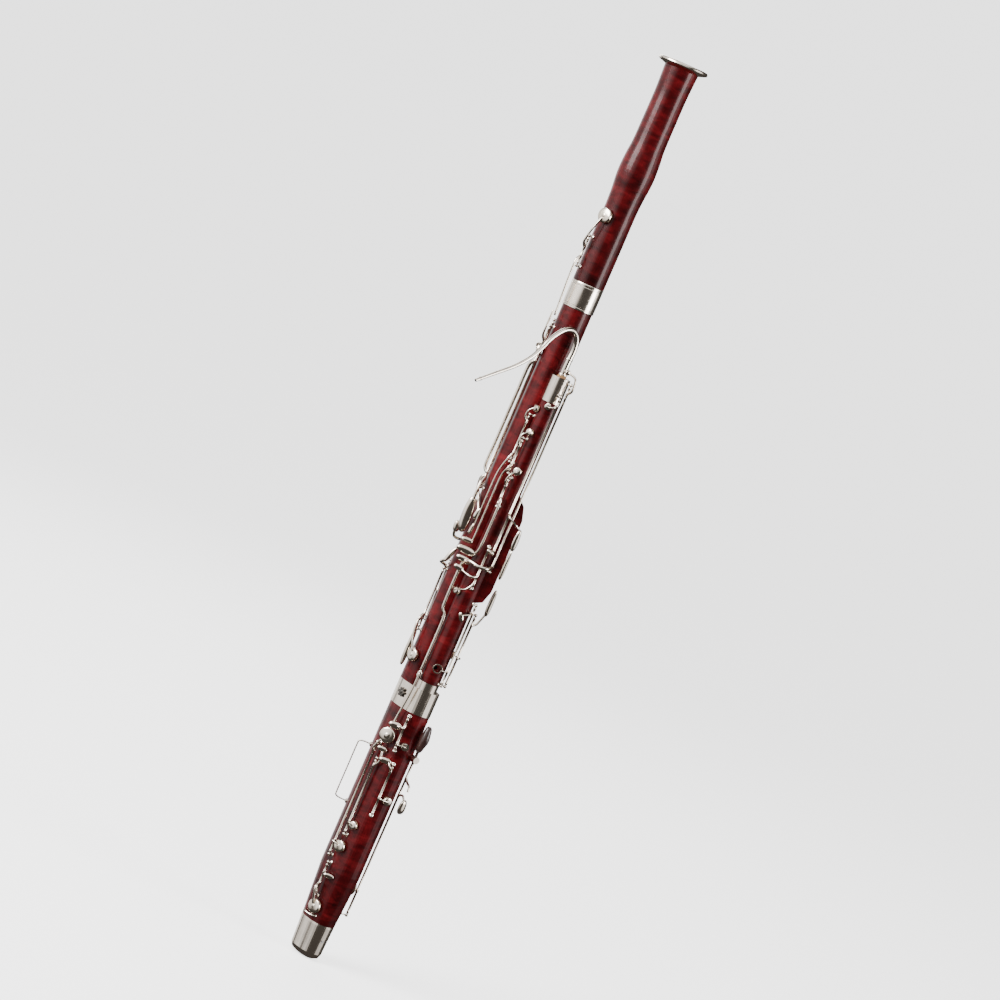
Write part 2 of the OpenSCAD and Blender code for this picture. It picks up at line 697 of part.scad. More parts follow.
module low_d_key() {
    h = low_d_hinge;
    color("gainsboro") key(h) {
        limb([on(h, 500), around(bass_axis, -20, 33, 494), around(bass_axis, -10, 33.5, 474),
              around(bass_axis, 5, 30.5, 455)], 1.6);
        cup(around(bass_axis, 6, 26.5, 449), 6, 9.6);
        limb([on(h, 506), across(-38, 1.5, 498), across(-36.5, 2, 480)], 1.7);
        touch(across(-36.2, 1, 456.5), thumb_turn, 57, 7.5);
    }
}

module low_d_pad() {
    color("linen") pad(around(bass_axis, 6, 26.5, 449), 6, 9.6);
}

module low_eb_key() {
    h = low_eb_hinge;
    color("gainsboro") key(h) {
        limb([on(h, 540), around(bass_axis, -77, 32, 540), around(bass_axis, -90, 32, 540),
              around(bass_axis, -103, 28.8, 540)], 1.6);
        cup(around(bass_axis, -104, 24.9, 540), -104, 9);
        limb([on(h, 576), around(bass_axis, -66, 32, 578), around(bass_axis, -52, 34, 580),
              around(bass_axis, -38, 34.5, 582), across(-39.5, 5, 586), across(-36.2, 9, 590)], 1.7);
        touch(across(-33.5, 9, 598), thumb_turn, 27, 7, -20);
    }
}

module low_eb_pad() {
    color("linen") pad(around(bass_axis, -104, 24.9, 540), -104, 9);
}

// ---- wing joint keys ----

module whisper_key() {
    h = whisper_hinge;
    color("gainsboro") key(h) {
        limb([on(h, 866), across(30, 35.5, 872), across(28, 36, 889), across(17.5, 32, 893)], 1.5);
        cup(around(wing_axis, nipple_turn, 10.2, nipple_height), nipple_turn, 4);
        limb([on(h, 606), across(20, 42, 603), across(8, 45, 602), across(-6, 38, 603), across(-14, 29, 592),
              across(-14, 26.4, 530), across(-7.5, 28, 516), across(-7, 28.7, 438)], 2.3);
        touch(across(-14, 31, 601.5), thumb_turn, 23, 10, 83);
        touch(across(-7, 28.7, 431), thumb_turn, 13, 7);
    }
}

module high_d_key() {
    h = high_d_hinge;
    color("gainsboro") key(h) {
        limb([on(h, 808), around(wing_axis, -30, 24.2, 814), around(wing_axis, -26, 24.2, 824),
              around(wing_axis, -18, 19, 830)], 1.2);
        cup(around(wing_axis, -18, 15.4, 831), -18, 5.3);
        limb([on(h, 762), across(-14, 24.5, 752), across(-19.5, 21, 724), across(-19.5, 20.4, 650)], 1.4);
        touch(across(-21, 20, 643.5), thumb_turn, 17, 6, -6);
    }
}

module high_c_key() {
    h = high_c_hinge;
    color("gainsboro") key(h) {
        limb([on(h, 775), around(wing_axis, 0, 24.2, 781), around(wing_axis, 2, 24.2, 791),
              around(wing_axis, 12, 19.2, 797)], 1.2);
        cup(around(wing_axis, 12, 15.6, 798), 12, 5.3);
        limb([on(h, 748), across(-9, 34, 740), across(-13, 28, 720), across(-13, 25, 630)], 1.4);
        touch(across(-20.5, 24.5, 627), thumb_turn, 18, 8, 92);
    }
}

module high_a_key() {
    h = high_a_hinge;
    color("gainsboro") key(h) {
        limb([on(h, 718), around(wing_axis, 16, 24.2, 724), around(wing_axis, 22, 24.2, 734),
              around(wing_axis, 34, 19.5, 741)], 1.2);
        cup(around(wing_axis, 36, 15.9, 742), 36, 6.2);
        limb([on(h, 700), across(0.5, 41, 692), across(0, 38, 625), across(-5, 33.5, 615)], 1.6);
        touch(across(-16, 32, 614.5), thumb_turn, 29, 11, 86, 2.6);
    }
}

module c_sharp_key() {
    h = c_sharp_hinge;
    color("gainsboro") key(h) {
        limb([on(h, 588), across(6, 43, 585), across(-4, 39.5, 586), across(-11, 36, 588)], 1.4);
        touch(across(-16, 35, 589), thumb_turn, 15, 8, 80);
        limb([on(h, 577), across(5, 40.5, 566), around(wing_axis, -5, 21.5, 559)], 1.3);
        cup(around(wing_axis, -5, 18.2, 558), -5, 5.4);
    }
}

module ring_key() {
    h = ring_hinge;
    color("gainsboro") key(h) {
        limb([on(h, 448.5), across(24.5, 37.6, 448.5), across(18.9, 37.6, 448.5)], 0.9);
        facing(across(12.9, 36.4, 448.5), thumb_turn) difference() {
            cylinder(h = 2, r = 7);
            translate([0, 0, -1]) cylinder(h = 4, r = 5);
        }
        limb([on(h, 536), across(24.2, 36.4, 534.6), across(16.4, 38.7, 530.8)], 1.4);
        touch(across(14, 37.9, 528), thumb_turn, 14, 7, 30);
    }
}

module trill_key() {
    h = trill_hinge;
    color("gainsboro") key(h) {
        limb([on(h, 846), across(16, 40, 842), across(10.5, 39, 840)], 1.3);
        cup(around(wing_axis, 46, 15.4, 840), 46, 5);
        limb([on(h, 684), across(22, 42.5, 680), across(33, 41.5, 674), across(41, 35, 668)], 1.5);
        touch(across(41.2, 34, 654), 82, 32, 9);
        touch(across(41.2, 34, 617), 82, 44, 6);
    }
}

module eb_finger_key() {
    h = eb_finger_hinge;
    color("gainsboro") key(h) {
        limb([on(h, 519), across(38.2, 15.2, 524.5), across(43.6, 14.3, 541)], 1.5);
        touch(across(44, 13.5, 558), 84, 40, 8);
        limb([on(h, 472), around(wing_axis, 152, 26.3, 471), around(wing_axis, 167, 24.6, 469.6),
              around(wing_axis, 177.5, 21.7, 470.4)], 1.4);
        cup(around(wing_axis, 180, 18, 470), 180, 6);
    }
}

// ---- boot keys ----

module e_key() {
    h = e_hinge;
    color("gainsboro") key(h) {
        limb([on(h, 302), boot_out(4, 12, 312), boot_out(14, 12, 326)], 1.7);
        cup(boot_out(20, 8.5, 335), 35, 11.5);
        limb([across(-14, 30.4, 343), across(-12, 30.6, 365), across(-8, 34.2, 405),
              across(-7.5, 34.6, 432)], 1.4);
        limb([on(h, 168), boot_out(4, 12, 168), boot_out(13, 9.4, 167)], 1.5);
        cup(boot_out(17, 5, 165), boot_turn(17), 9);
    }
}

module e_pad() {
    color("linen") pad(boot_out(17, 5, 165), boot_turn(17), 9);
}

module f_sharp_key() {
    h = f_sharp_hinge;
    color("gainsboro") key(h) {
        limb([on(h, 288), across(-10, 30, 296), across(-11.5, 29.5, 310)], 1.5);
        touch(across(-13, 28.4, 314.5), thumb_turn, 15, 8, 85);
        limb([on(h, 202), boot_out(22, 10.5, 202), boot_out(28, 9, 201)], 1.5);
        cup(boot_out(28, 5, 200), boot_turn(28), 6.5);
    }
}

module bb_thumb_key() {
    h = bb_hinge;
    color("gainsboro") key(h) {
        limb([on(h, 353), across(-1.8, 39.4, 354.2), across(-8, 36.5, 353.4)], 1.5);
        touch(across(-9.5, 35.5, 353), thumb_turn, 19, 10, 90);
        limb([on(h, 331.5), boot_out(52.5, 10.4, 330.8), boot_out(66, 7.3, 330.2)], 1.4);
        cup(boot_out(68, 3.2, 330), boot_turn(68), 6);
    }
}

module ab_thumb_key() {
    h = ab_hinge;
    color("gainsboro") key(h) {
        limb([on(h, 290), across(7, 42, 297), across(3, 39, 302)], 1.5);
        touch(across(-3, 37.5, 302.5), thumb_turn, 18, 9, 90);
        limb([on(h, 251), boot_out(66, 10.5, 250.6), boot_out(81, 7.2, 250)], 1.4);
        cup(boot_out(84, 3.2, 250), boot_turn(84), 6.8);
    }
}

module low_f_key() {
    h = low_f_hinge;
    color("gainsboro") key(h) {
        limb([on(h, 104), boot_out(9, 11, 98), boot_out(14, 6.6, 77)], 2);
        cup(boot_out(16, 2.6, 73), boot_turn(16), 10.5);
        limb([on(h, 122), across(-15, 28.5, 121)], 1.5);
        touch(across(-11, 28.5, 120.5), thumb_turn, 15, 7, 90);
    }
}

module low_f_pad() {
    color("linen") pad(boot_out(16, 2.6, 73), boot_turn(16), 10.5);
}

module ab_finger_key() {
    h = ab_finger_hinge;
    color("gainsboro") key(h) {
        limb([on(h, 110), [15, 32, 110], [7, 29.5, 110]], 1.6);
        cup([5, 24.8, 110], 180, 12);
        limb([on(h, 258), across(39, 0, 260), across(43.5, 5, 254)], 1.6);
        touch(across(44, 6, 246), 95, 22, 13, 0, 3);
        limb([on(h, 284), across(37, 1, 280), across(42, 6, 276), across(43, 8, 270)], 1.6);
    }
}

module g_key() {
    h = g_hinge;
    color("gainsboro") key(h) {
        limb([on(h, 227.5), [-8.2, 33.2, 226.4], [-14.6, 33.9, 225.8], [-18.2, 30.7, 225.2]], 1.6);
        cup([-19.5, 26.8, 225], 187, 9);
        limb([on(h, 315), [-9.2, 33.9, 313.6], [-13.8, 34.7, 310.6]], 1.6);
        touch([-15, 33.5, 306], 184, 26, 12);
    }
}

boot_body();
boot_top_band();
boot_cap();
cap_screws();
return_bend();
boot_posts();
boot_rods();
wire_guard();
pad_guard();
hand_rest_socket();
hand_rest();
strap_ring();
lock_knob();
bass_body();
bass_corks();
bass_posts();
bass_rods();
wing_body();
wing_ferrule();
wing_low_ring();
wing_cork();
wing_liner();
wing_posts();
wing_rods();
bell_body();
bell_ferrule();
bell_rim();
bell_posts();
bell_rod();
bocal_tube();
bocal_cork();
bocal_nipple();
low_bb_bell_key();
low_bb_bell_pad();
low_bb_lever();
low_b_key();
low_b_pad();
low_c_key();
low_c_pad();
low_d_key();
low_d_pad();
low_eb_key();
low_eb_pad();
whisper_key();
high_d_key();
high_c_key();
high_a_key();
c_sharp_key();
ring_key();
trill_key();
eb_finger_key();
e_key();
e_pad();
f_sharp_key();
bb_thumb_key();
ab_thumb_key();
low_f_key();
low_f_pad();
ab_finger_key();
g_key();
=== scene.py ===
# Bassoon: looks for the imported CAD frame. The helpers work in millimetres and degrees, the meshes in metres.
import json
import math
import bpy
from mathutils import Matrix, Vector

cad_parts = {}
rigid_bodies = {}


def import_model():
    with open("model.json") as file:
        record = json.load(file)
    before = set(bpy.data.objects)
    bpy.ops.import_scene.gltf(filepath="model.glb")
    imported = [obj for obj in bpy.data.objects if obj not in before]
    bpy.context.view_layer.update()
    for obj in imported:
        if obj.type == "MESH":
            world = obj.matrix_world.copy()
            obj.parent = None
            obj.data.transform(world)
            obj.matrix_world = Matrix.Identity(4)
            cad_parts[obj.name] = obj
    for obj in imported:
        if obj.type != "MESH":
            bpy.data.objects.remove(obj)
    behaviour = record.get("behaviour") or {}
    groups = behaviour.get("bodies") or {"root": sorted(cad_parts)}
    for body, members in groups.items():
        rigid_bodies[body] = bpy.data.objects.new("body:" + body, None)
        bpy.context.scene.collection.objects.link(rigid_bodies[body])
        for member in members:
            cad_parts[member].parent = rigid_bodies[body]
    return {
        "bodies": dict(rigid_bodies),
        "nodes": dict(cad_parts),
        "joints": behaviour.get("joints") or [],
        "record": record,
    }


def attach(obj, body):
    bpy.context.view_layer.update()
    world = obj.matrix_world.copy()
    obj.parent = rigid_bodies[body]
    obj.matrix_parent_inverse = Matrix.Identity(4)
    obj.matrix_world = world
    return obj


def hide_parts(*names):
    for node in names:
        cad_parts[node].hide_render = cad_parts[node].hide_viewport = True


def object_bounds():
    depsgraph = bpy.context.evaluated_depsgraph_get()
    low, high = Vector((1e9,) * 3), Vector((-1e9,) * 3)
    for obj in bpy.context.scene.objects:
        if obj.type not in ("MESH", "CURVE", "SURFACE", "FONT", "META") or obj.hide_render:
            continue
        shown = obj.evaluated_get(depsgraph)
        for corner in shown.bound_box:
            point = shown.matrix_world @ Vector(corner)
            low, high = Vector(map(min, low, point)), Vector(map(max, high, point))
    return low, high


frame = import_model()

CAD_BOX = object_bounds()
NODES = frame["nodes"]
MM = 0.001

# ---------------------------------------------------------------- places, as in the CAD source
# The thumb side faces the camera. BASS and WING are the axes of the two long joints, seen from above.
THUMB_TURN = 50
THUMB = math.radians(THUMB_TURN)
BASS = (-12.0, 0.0)
BASS_ENDS, BASS_RADII = (412, 976), (22.6, 21.7)
BELL_R = 22.7
WING = (20.5, -5.0)
WING_U = WING[0] * math.cos(THUMB) + WING[1] * math.sin(THUMB)
WING_N = WING[0] * math.sin(THUMB) - WING[1] * math.cos(THUMB)
WING_ENDS, WING_RADII = (424, 846), (15.0, 13.0)
RECEIVER_R = 13.6
FLANGE_TURN, FLANGE_HALF, FLANGE_REACH, FLANGE_ENDS = 140, 7.5, (8, 29), (560, 695)

# The boot is a squared oval that narrows to its foot, and its bores lie on a line of half length BOOT_SPINE.
BOOT_W, BOOT_D = 70.0, 46.0
FOOT_W, FOOT_D = 56, 40
FOOT_ENDS = (52.0, 130.0)
BOOT_SQUARE = 2.3
BOOT_SPINE = 12.0

# Hinge rods and tubes, and how far the hinge lines stand from a joint's axis, or from the boot's wood.
ROD_R, TUBE_R = 0.9, 1.9
BASS_OUT, BELL_OUT, WING_OUT, BOOT_OUT = 27, 28, 19.5, 5.5


def across(u, n, z):
    """A point seen from the thumb side: u to the right, n towards the viewer."""
    return Vector((u * math.cos(THUMB) + n * math.sin(THUMB), u * math.sin(THUMB) - n * math.cos(THUMB), z))


def around(axis, phi, d, z):
    """A point at distance d from a joint's axis, turned phi from -Y towards +X."""
    a = math.radians(phi)
    return Vector((axis[0] + d * math.sin(a), axis[1] - d * math.cos(a), z))


def wing_front(u, d):
    """How far towards the viewer a point at u lies when it is d from the wing's axis."""
    return WING_N + math.sqrt(d * d - (u - WING_U) ** 2)


def boot_turn(t):
    """The turn of the boot's outward normal at parameter t of its oval."""
    t = math.radians(t)
    return math.degrees(math.atan2(BOOT_D * math.sin(t), BOOT_W * math.cos(t)))


def boot_out(t, gap, z):
    """A point at parameter t of the boot's oval, a gap outside it."""
    a, b = math.radians(t), math.radians(boot_turn(t))
    x = BOOT_W / 2 * math.sin(a) + gap * math.sin(b)
    y = -BOOT_D / 2 * math.cos(a) - gap * math.cos(b)
    return Vector((x, y, z))


def spine(p):
    """The nearest point of the line between the boot's two bores."""
    return (max(-BOOT_SPINE, min(BOOT_SPINE, p[0])), 0.0)


def taper(z, low, high, at_low, at_high):
    """A size that changes evenly between two heights and stays level past them."""
    return at_low + (at_high - at_low) * min(1.0, max(0.0, (z - low) / (high - low)))


def from_axis(axis, p):
    return math.hypot(p[0] - axis[0], p[1] - axis[1])


def in_bell(p):
    return from_axis(BASS, p) < BELL_R


def in_bass(p):
    return from_axis(BASS, p) < taper(p[2], *BASS_ENDS, *BASS_RADII)


def in_flange(p):
    """Inside the straight flange that stands out from the wing joint."""
    d = Vector((p[0] - WING[0], p[1] - WING[1]))
    a = math.radians(FLANGE_TURN)
    out, side = d.x * math.sin(a) - d.y * math.cos(a), d.x * math.cos(a) + d.y * math.sin(a)
    return (abs(side) < FLANGE_HALF and FLANGE_REACH[0] < out < FLANGE_REACH[1]
            and FLANGE_ENDS[0] < p[2] < FLANGE_ENDS[1])


def in_wing(p):
    radius = RECEIVER_R if p[2] > WING_ENDS[1] else taper(p[2], *WING_ENDS, *WING_RADII)
    return in_flange(p) or from_axis(WING, p) < radius


def in_boot(p):
    w, d = taper(p[2], *FOOT_ENDS, FOOT_W, BOOT_W), taper(p[2], *FOOT_ENDS, FOOT_D, BOOT_D)
    return abs(2 * p[0] / w) ** BOOT_SQUARE + abs(2 * p[1] / d) ** BOOT_SQUARE < 1.0


# ---------------------------------------------------------------- mesh building
def spline(points, steps, tension=0.5):
    """A smooth curve through the given points, each span cut into a number of steps."""
    out = []
    n = len(points) - 1
    for i in range(n):
        before, start, stop, after = points[max(0, i - 1)], points[i], points[i + 1], points[min(n, i + 2)]
        leave, arrive = (stop - before) * tension, (after - start) * tension
        for k in range(steps):
            t = k / steps
            out.append((2 * t ** 3 - 3 * t ** 2 + 1) * start + (t ** 3 - 2 * t ** 2 + t) * leave
                       + (-2 * t ** 3 + 3 * t ** 2) * stop + (t ** 3 - t ** 2) * arrive)
    out.append(points[n].copy())
    return out


def facing(p, phi, tilt=0.0):
    """Places a shape so that its +Z points outwards at turn phi and its +Y stays upright."""
    return (Matrix.Translation(p) @ Matrix.Rotation(math.radians(phi), 4, "Z")
            @ Matrix.Rotation(math.radians(90), 4, "X") @ Matrix.Rotation(math.radians(tilt), 4, "Z"))


def along(a, b):
    """Places a shape at a so that its +Z points to b."""
    d = (b - a).normalized()
    return Matrix.Translation(a) @ d.to_track_quat("Z", "Y").to_matrix().to_4x4()


def circle(seg):
    """Cosine and sine of each step round a full turn."""
    return [(math.cos(2 * math.pi * k / seg), math.sin(2 * math.pi * k / seg)) for k in range(seg)]


class Build:
    """Collects closed shells, in millimetres, and makes one smooth mesh of them."""

    def __init__(self):
        self.v, self.f = [], []

    def loft(self, rings, ends=True):
        """Skin through rings of equal count, with a fan over each end."""
        base, n = len(self.v), len(rings[0])
        for ring in rings:
            self.v.extend(ring)
        for i in range(len(rings) - 1):
            for k in range(n):
                j = (k + 1) % n
                a, b = base + i * n, base + (i + 1) * n
                self.f.append((a + k, a + j, b + j, b + k))
        if ends:
            for which, ring in ((0, rings[0]), (1, rings[-1])):
                c = len(self.v)
                self.v.append(sum(ring, Vector()) / n)
                start = base + which * (len(rings) - 1) * n
                for k in range(n):
                    a, b = start + k, start + (k + 1) % n
                    self.f.append((c, b, a) if which == 0 else (c, a, b))

    def lathe(self, profile, place, seg, closed=False):
        """Turned shape: profile is (radius, height) from the bottom up.

        closed joins the last ring to the first, for a hollow shape.
        """
        rings = [[place @ Vector((r * c, r * s, h)) for c, s in circle(seg)] for r, h in profile]
        if closed:
            rings.append(rings[0])
        self.loft(rings, ends=not closed)

    def sweep(self, path, radii, seg=14, flat=1.0, round_ends=True):
        """Tube along a path, with a radius at each point and rounded ends. flat squeezes its section."""
        tangents = []
        for i in range(len(path)):
            t = path[min(i + 1, len(path) - 1)] - path[max(i - 1, 0)]
            tangents.append(t.normalized())
        side = tangents[0].orthogonal().normalized()
        frames = []
        for p, t in zip(path, tangents):
            side = (side - t * side.dot(t)).normalized()
            frames.append((p, t, side.copy(), t.cross(side)))

        def ring(p, s, u, r):
            return [p + s * (r * cos) + u * (r * flat * sin) for cos, sin in circle(seg)]

        def end_ring(frame, r, lift, sign):
            p, t, s, u = frame
            return ring(p + t * r * math.sin(lift) * sign, s, u, r * math.cos(lift))

        lifts = [math.radians(a) for a in (25, 50, 75)] if round_ends else []
        rings = [end_ring(frames[0], radii[0], lift, -1) for lift in reversed(lifts)]
        rings += [ring(p, s, u, r) for (p, t, s, u), r in zip(frames, radii)]
        rings += [end_ring(frames[-1], radii[-1], lift, 1) for lift in lifts]
        self.loft(rings)

    def arm(self, points, r):
        """Cast key arm: thick where it leaves the hinge tube, slimmer towards its far end."""
        swell, slim, quickness = 1.26, 0.96, 1.6
        path = spline(points, 7, 0.42)
        n = len(path) - 1
        self.sweep(path, [r * (swell + (slim - swell) * min(1.0, (i / n) * quickness)) for i in range(n + 1)])

    def touch(self, p, phi, length, width, tilt=0.0, thick=2.0):
        """Domed, slightly egg-shaped thumb or finger touch."""
        place = facing(p, phi, tilt)
        egg, square, end_inset = 0.12, 0.85, 1.3
        dome = ((0.60, -0.42), (0.86, -0.36), (0.97, -0.10), (1.0, 0.20), (0.97, 0.52), (0.89, 0.86),
                (0.76, 1.14), (0.59, 1.36), (0.40, 1.50), (0.22, 1.57), (0.08, 1.60))
        rings = []
        for scale, h in dome:
            inset = (1 - scale) * width / 2
            ring = []
            for c, s in circle(44):
                x = math.copysign(abs(c) ** square, c) * (width / 2 - inset)
                y = math.copysign(abs(s) ** square, s) * (length / 2 - inset * end_inset)
                y = math.copysign(min(abs(y), length / 2), y)
                x *= 1 - egg * (2 * y / length)
                ring.append(place @ Vector((x, y, h * thick)))
            rings.append(ring)
        self.loft(rings)

    def cup(self, p, phi, r):
        """Pad cup: rolled rim, shallow dome and a small centre boss."""
        self.lathe([(r * 0.4, 0.25), (r - 0.9, 0.2), (r - 0.5, -0.15), (r - 0.1, 0.0), (r, 0.35), (r, 0.9),
                    (r - 0.25, 1.3), (r - 0.3, 2.1), (r - 0.7, 2.7), (r * 0.84, 3.15), (r * 0.66, 3.5),
                    (r * 0.45, 3.72), (r * 0.26, 3.8), (r * 0.24, 4.0), (r * 0.2, 4.15), (r * 0.08, 4.2)],
                   facing(p, phi), 48)

    def pad(self, p, phi, r, low):
        """Leather pad under a cup: low is the height of its face below the cup's rim."""
        self.lathe([(r * 0.5, low + 0.12), (r - 1.9, low), (r - 1.2, low + 0.1), (r - 0.75, low + 0.5),
                    (r - 0.7, low + 1.1), (r - 0.9, -0.1), (r * 0.5, -0.05)], facing(p, phi), 44)

    def hinge_tube(self, hinge, collars):
        """Hinge tube with a turned collar at each end and wherever an arm is soldered on."""
        line, low, high, _ = hinge
        end_length, arm_half, shortest_gap = 3.2, 2.6, 1.5
        marks = sorted([(low, low + end_length), (high - end_length, high)]
                       + [(max(low, c - arm_half), min(high, c + arm_half)) for c in collars])
        merged = []
        for a, b in marks:
            if merged and a <= merged[-1][1] + shortest_gap:
                merged[-1] = (merged[-1][0], max(b, merged[-1][1]))
            else:
                merged.append((a, b))
        slim, edge, bevel, step = TUBE_R - 0.28, TUBE_R - 0.14, 0.18, 0.25
        profile = []
        for a, b in merged:
            if profile:
                profile += [(slim, a - step)]
            profile += [(edge, a), (TUBE_R, a + bevel), (TUBE_R, b - bevel), (edge, b)]
            if b < high - 2 * step:
                profile += [(slim, b + step)]
        bore = ROD_R + 0.05
        self.lathe([(bore, low)] + profile + [(bore, high)], Matrix.Translation(line), 24, closed=True)

    def post(self, h, z, axis, surface):
        """Turned post: flange on the wood, waisted neck and a ball drilled for the rod."""
        centre = Vector((h[0], h[1], z))
        inward = Vector((axis[0] - h[0], axis[1] - h[1], 0)).normalized()
        gap, farthest, sunk = 1.0, 20, 0.5
        while not surface(centre + inward * gap) and gap < farthest:
            gap += 0.1
        reach = gap + sunk
        ball, neck, waist, waisted_from = 2.4, 1.25, 1.12, 4.6
        profile = [(2.5, -0.6), (3.1, 0.0), (3.1, 0.75), (2.8, 1.1), (1.7, 1.5), (neck, 2.1)]
        if reach > waisted_from:
            profile += [(waist, reach - 2.9)]
        profile += [(neck, reach - 2.1)]
        for a in range(-52, 90, 14):
            profile.append((ball * math.cos(math.radians(a)), reach + ball * math.sin(math.radians(a))))
        rising = [q for i, q in enumerate(profile) if i == 0 or q[1] > profile[i - 1][1] - 0.02]
        self.lathe(rising, along(centre + inward * reach, centre), 28)

    def make(self, name, material, body, replaces=(), angle=40):
        """One visible piece of the collected shells. Its shading turns sharp past the angle."""
        mesh = bpy.data.meshes.new(name)
        mesh.from_pydata([tuple(v * MM) for v in self.v], [], self.f)
        mesh.validate()
        smooth(mesh, angle)
        mesh.materials.append(material)
        obj = bpy.data.objects.new(name, mesh)
        bpy.context.scene.collection.objects.link(obj)
        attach(obj, body)
        if replaces:
            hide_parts(*replaces)
        return obj


def smooth(mesh, angle):
    mesh.polygons.foreach_set("use_smooth", [True] * len(mesh.polygons))
    mesh.set_sharp_from_angle(angle=math.radians(angle))
    mesh.update()


# ---------------------------------------------------------------- materials
def new_material(name):
    mat = bpy.data.materials.new(name)
    mat.use_nodes = True
    tree = mat.node_tree
    tree.nodes.clear()
    out = tree.nodes.new("ShaderNodeOutputMaterial")
    shader = tree.nodes.new("ShaderNodeBsdfPrincipled")
    tree.links.new(shader.outputs[0], out.inputs[0])
    where = tree.nodes.new("ShaderNodeTexCoord").outputs["Object"]
    return mat, tree, shader, where


def noise(tree, where, scale, detail=4.0, rough=0.55, distortion=0.0):
    """Noise with its own scale along each axis, in cells a metre."""
    mapping = tree.nodes.new("ShaderNodeMapping")
    mapping.inputs["Scale"].default_value = scale
    tree.links.new(where, mapping.inputs["Vector"])
    tex = tree.nodes.new("ShaderNodeTexNoise")
    tex.inputs["Scale"].default_value = 1.0
    tex.inputs["Detail"].default_value = detail
    tex.inputs["Roughness"].default_value = rough
    tex.inputs["Distortion"].default_value = distortion
    tree.links.new(mapping.outputs[0], tex.inputs["Vector"])
    return tex.outputs["Fac"]


def ramp(tree, value, stops):
    """Colour ramp of (position, colour) stops. A colour of one number is a grey."""
    node = tree.nodes.new("ShaderNodeValToRGB")
    bar = node.color_ramp
    while len(bar.elements) < len(stops):
        bar.elements.new(0.5)
    for element, (pos, colour) in zip(bar.elements, stops):
        element.position = pos
        element.color = (colour if len(colour) == 3 else colour * 3) + (1.0,)
    tree.links.new(value, node.inputs[0])
    return node.outputs["Color"]


def mix(tree, kind, amount, a, b):
    """Blends two colours, each of them a tuple or another node's output."""
    node = tree.nodes.new("ShaderNodeMix")
    node.data_type = "RGBA"
    node.blend_type = kind
    node.inputs[0].default_value = amount
    for socket, value in ((6, a), (7, b)):
        if isinstance(value, tuple):
            node.inputs[socket].default_value = value + (1.0,)
        else:
            tree.links.new(value, node.inputs[socket])
    return node.outputs[2]


def bump(tree, shader, height, strength, distance):
    node = tree.nodes.new("ShaderNodeBump")
    node.inputs["Strength"].default_value = strength
    node.inputs["Distance"].default_value = distance
    tree.links.new(height, node.inputs["Height"])
    tree.links.new(node.outputs[0], shader.inputs["Normal"])


def maple():
    """Flamed maple under red stain and lacquer: curly bars across the grain, fine dark lines along it."""
    mat, tree, shader, where = new_material("red_flamed_maple")
    flame = noise(tree, where, (38, 38, 84), 4.0, 0.58, 0.5)
    grain = noise(tree, where, (900, 900, 16), 3.0, 0.5, 0.2)
    cloud = noise(tree, where, (22, 22, 7), 3.0, 0.5, 0.4)
    red = ramp(tree, flame, [(0.30, (0.030, 0.0009, 0.0015)), (0.45, (0.072, 0.0021, 0.0036)),
                             (0.58, (0.124, 0.0044, 0.0066)), (0.74, (0.190, 0.0090, 0.0120))])
    dark = ramp(tree, cloud, [(0.36, (0.30, 0.27, 0.27)), (0.60, (1.0, 1.0, 1.0))])
    stained = mix(tree, "MULTIPLY", 0.72, red, dark)
    lines = ramp(tree, grain, [(0.34, (0.40, 0.34, 0.34)), (0.52, (1.0, 1.0, 1.0))])
    tree.links.new(mix(tree, "MULTIPLY", 0.45, stained, lines), shader.inputs["Base Color"])
    tree.links.new(ramp(tree, grain, [(0.3, (0.42,)), (0.7, (0.30,))]), shader.inputs["Roughness"])
    bump(tree, shader, grain, 0.12, 0.00012)
    shader.inputs["Specular IOR Level"].default_value = 0.16
    shader.inputs["Specular Tint"].default_value = (1.0, 0.55, 0.55, 1)
    shader.inputs["Coat Weight"].default_value = 0.26
    shader.inputs["Coat Roughness"].default_value = 0.14
    shader.inputs["Coat IOR"].default_value = 1.5
    return mat


def plated(name, light, shade, gloss, dull, size=1.0):
    """Polished plating with faint hand marks: metal whose colour and gloss wander a little."""
    mat, tree, shader, where = new_material(name)
    smudge = noise(tree, where, (70 * size, 70 * size, 34 * size), 4.0, 0.62, 0.5)
    fine = noise(tree, where, (1500, 1500, 500), 2.0, 0.5)
    tree.links.new(ramp(tree, smudge, [(0.34, shade), (0.62, light)]), shader.inputs["Base Color"])
    tree.links.new(ramp(tree, smudge, [(0.35, (dull,)), (0.62, (gloss,))]), shader.inputs["Roughness"])
    bump(tree, shader, fine, 0.05, 0.00004)
    shader.inputs["Metallic"].default_value = 1.0
    return mat


def cork_material():
    """Greased cork lapping with dark pores."""
    mat, tree, shader, where = new_material("greased_cork")
    cells = noise(tree, where, (520, 520, 520), 5.0, 0.7, 0.3)
    tree.links.new(ramp(tree, cells, [(0.33, (0.11, 0.045, 0.018)), (0.48, (0.38, 0.20, 0.085)),
                                      (0.7, (0.52, 0.31, 0.15))]), shader.inputs["Base Color"])
    tree.links.new(ramp(tree, cells, [(0.3, (0.55,)), (0.7, (0.8,))]), shader.inputs["Roughness"])
    bump(tree, shader, cells, 0.5, 0.0003)
    return mat


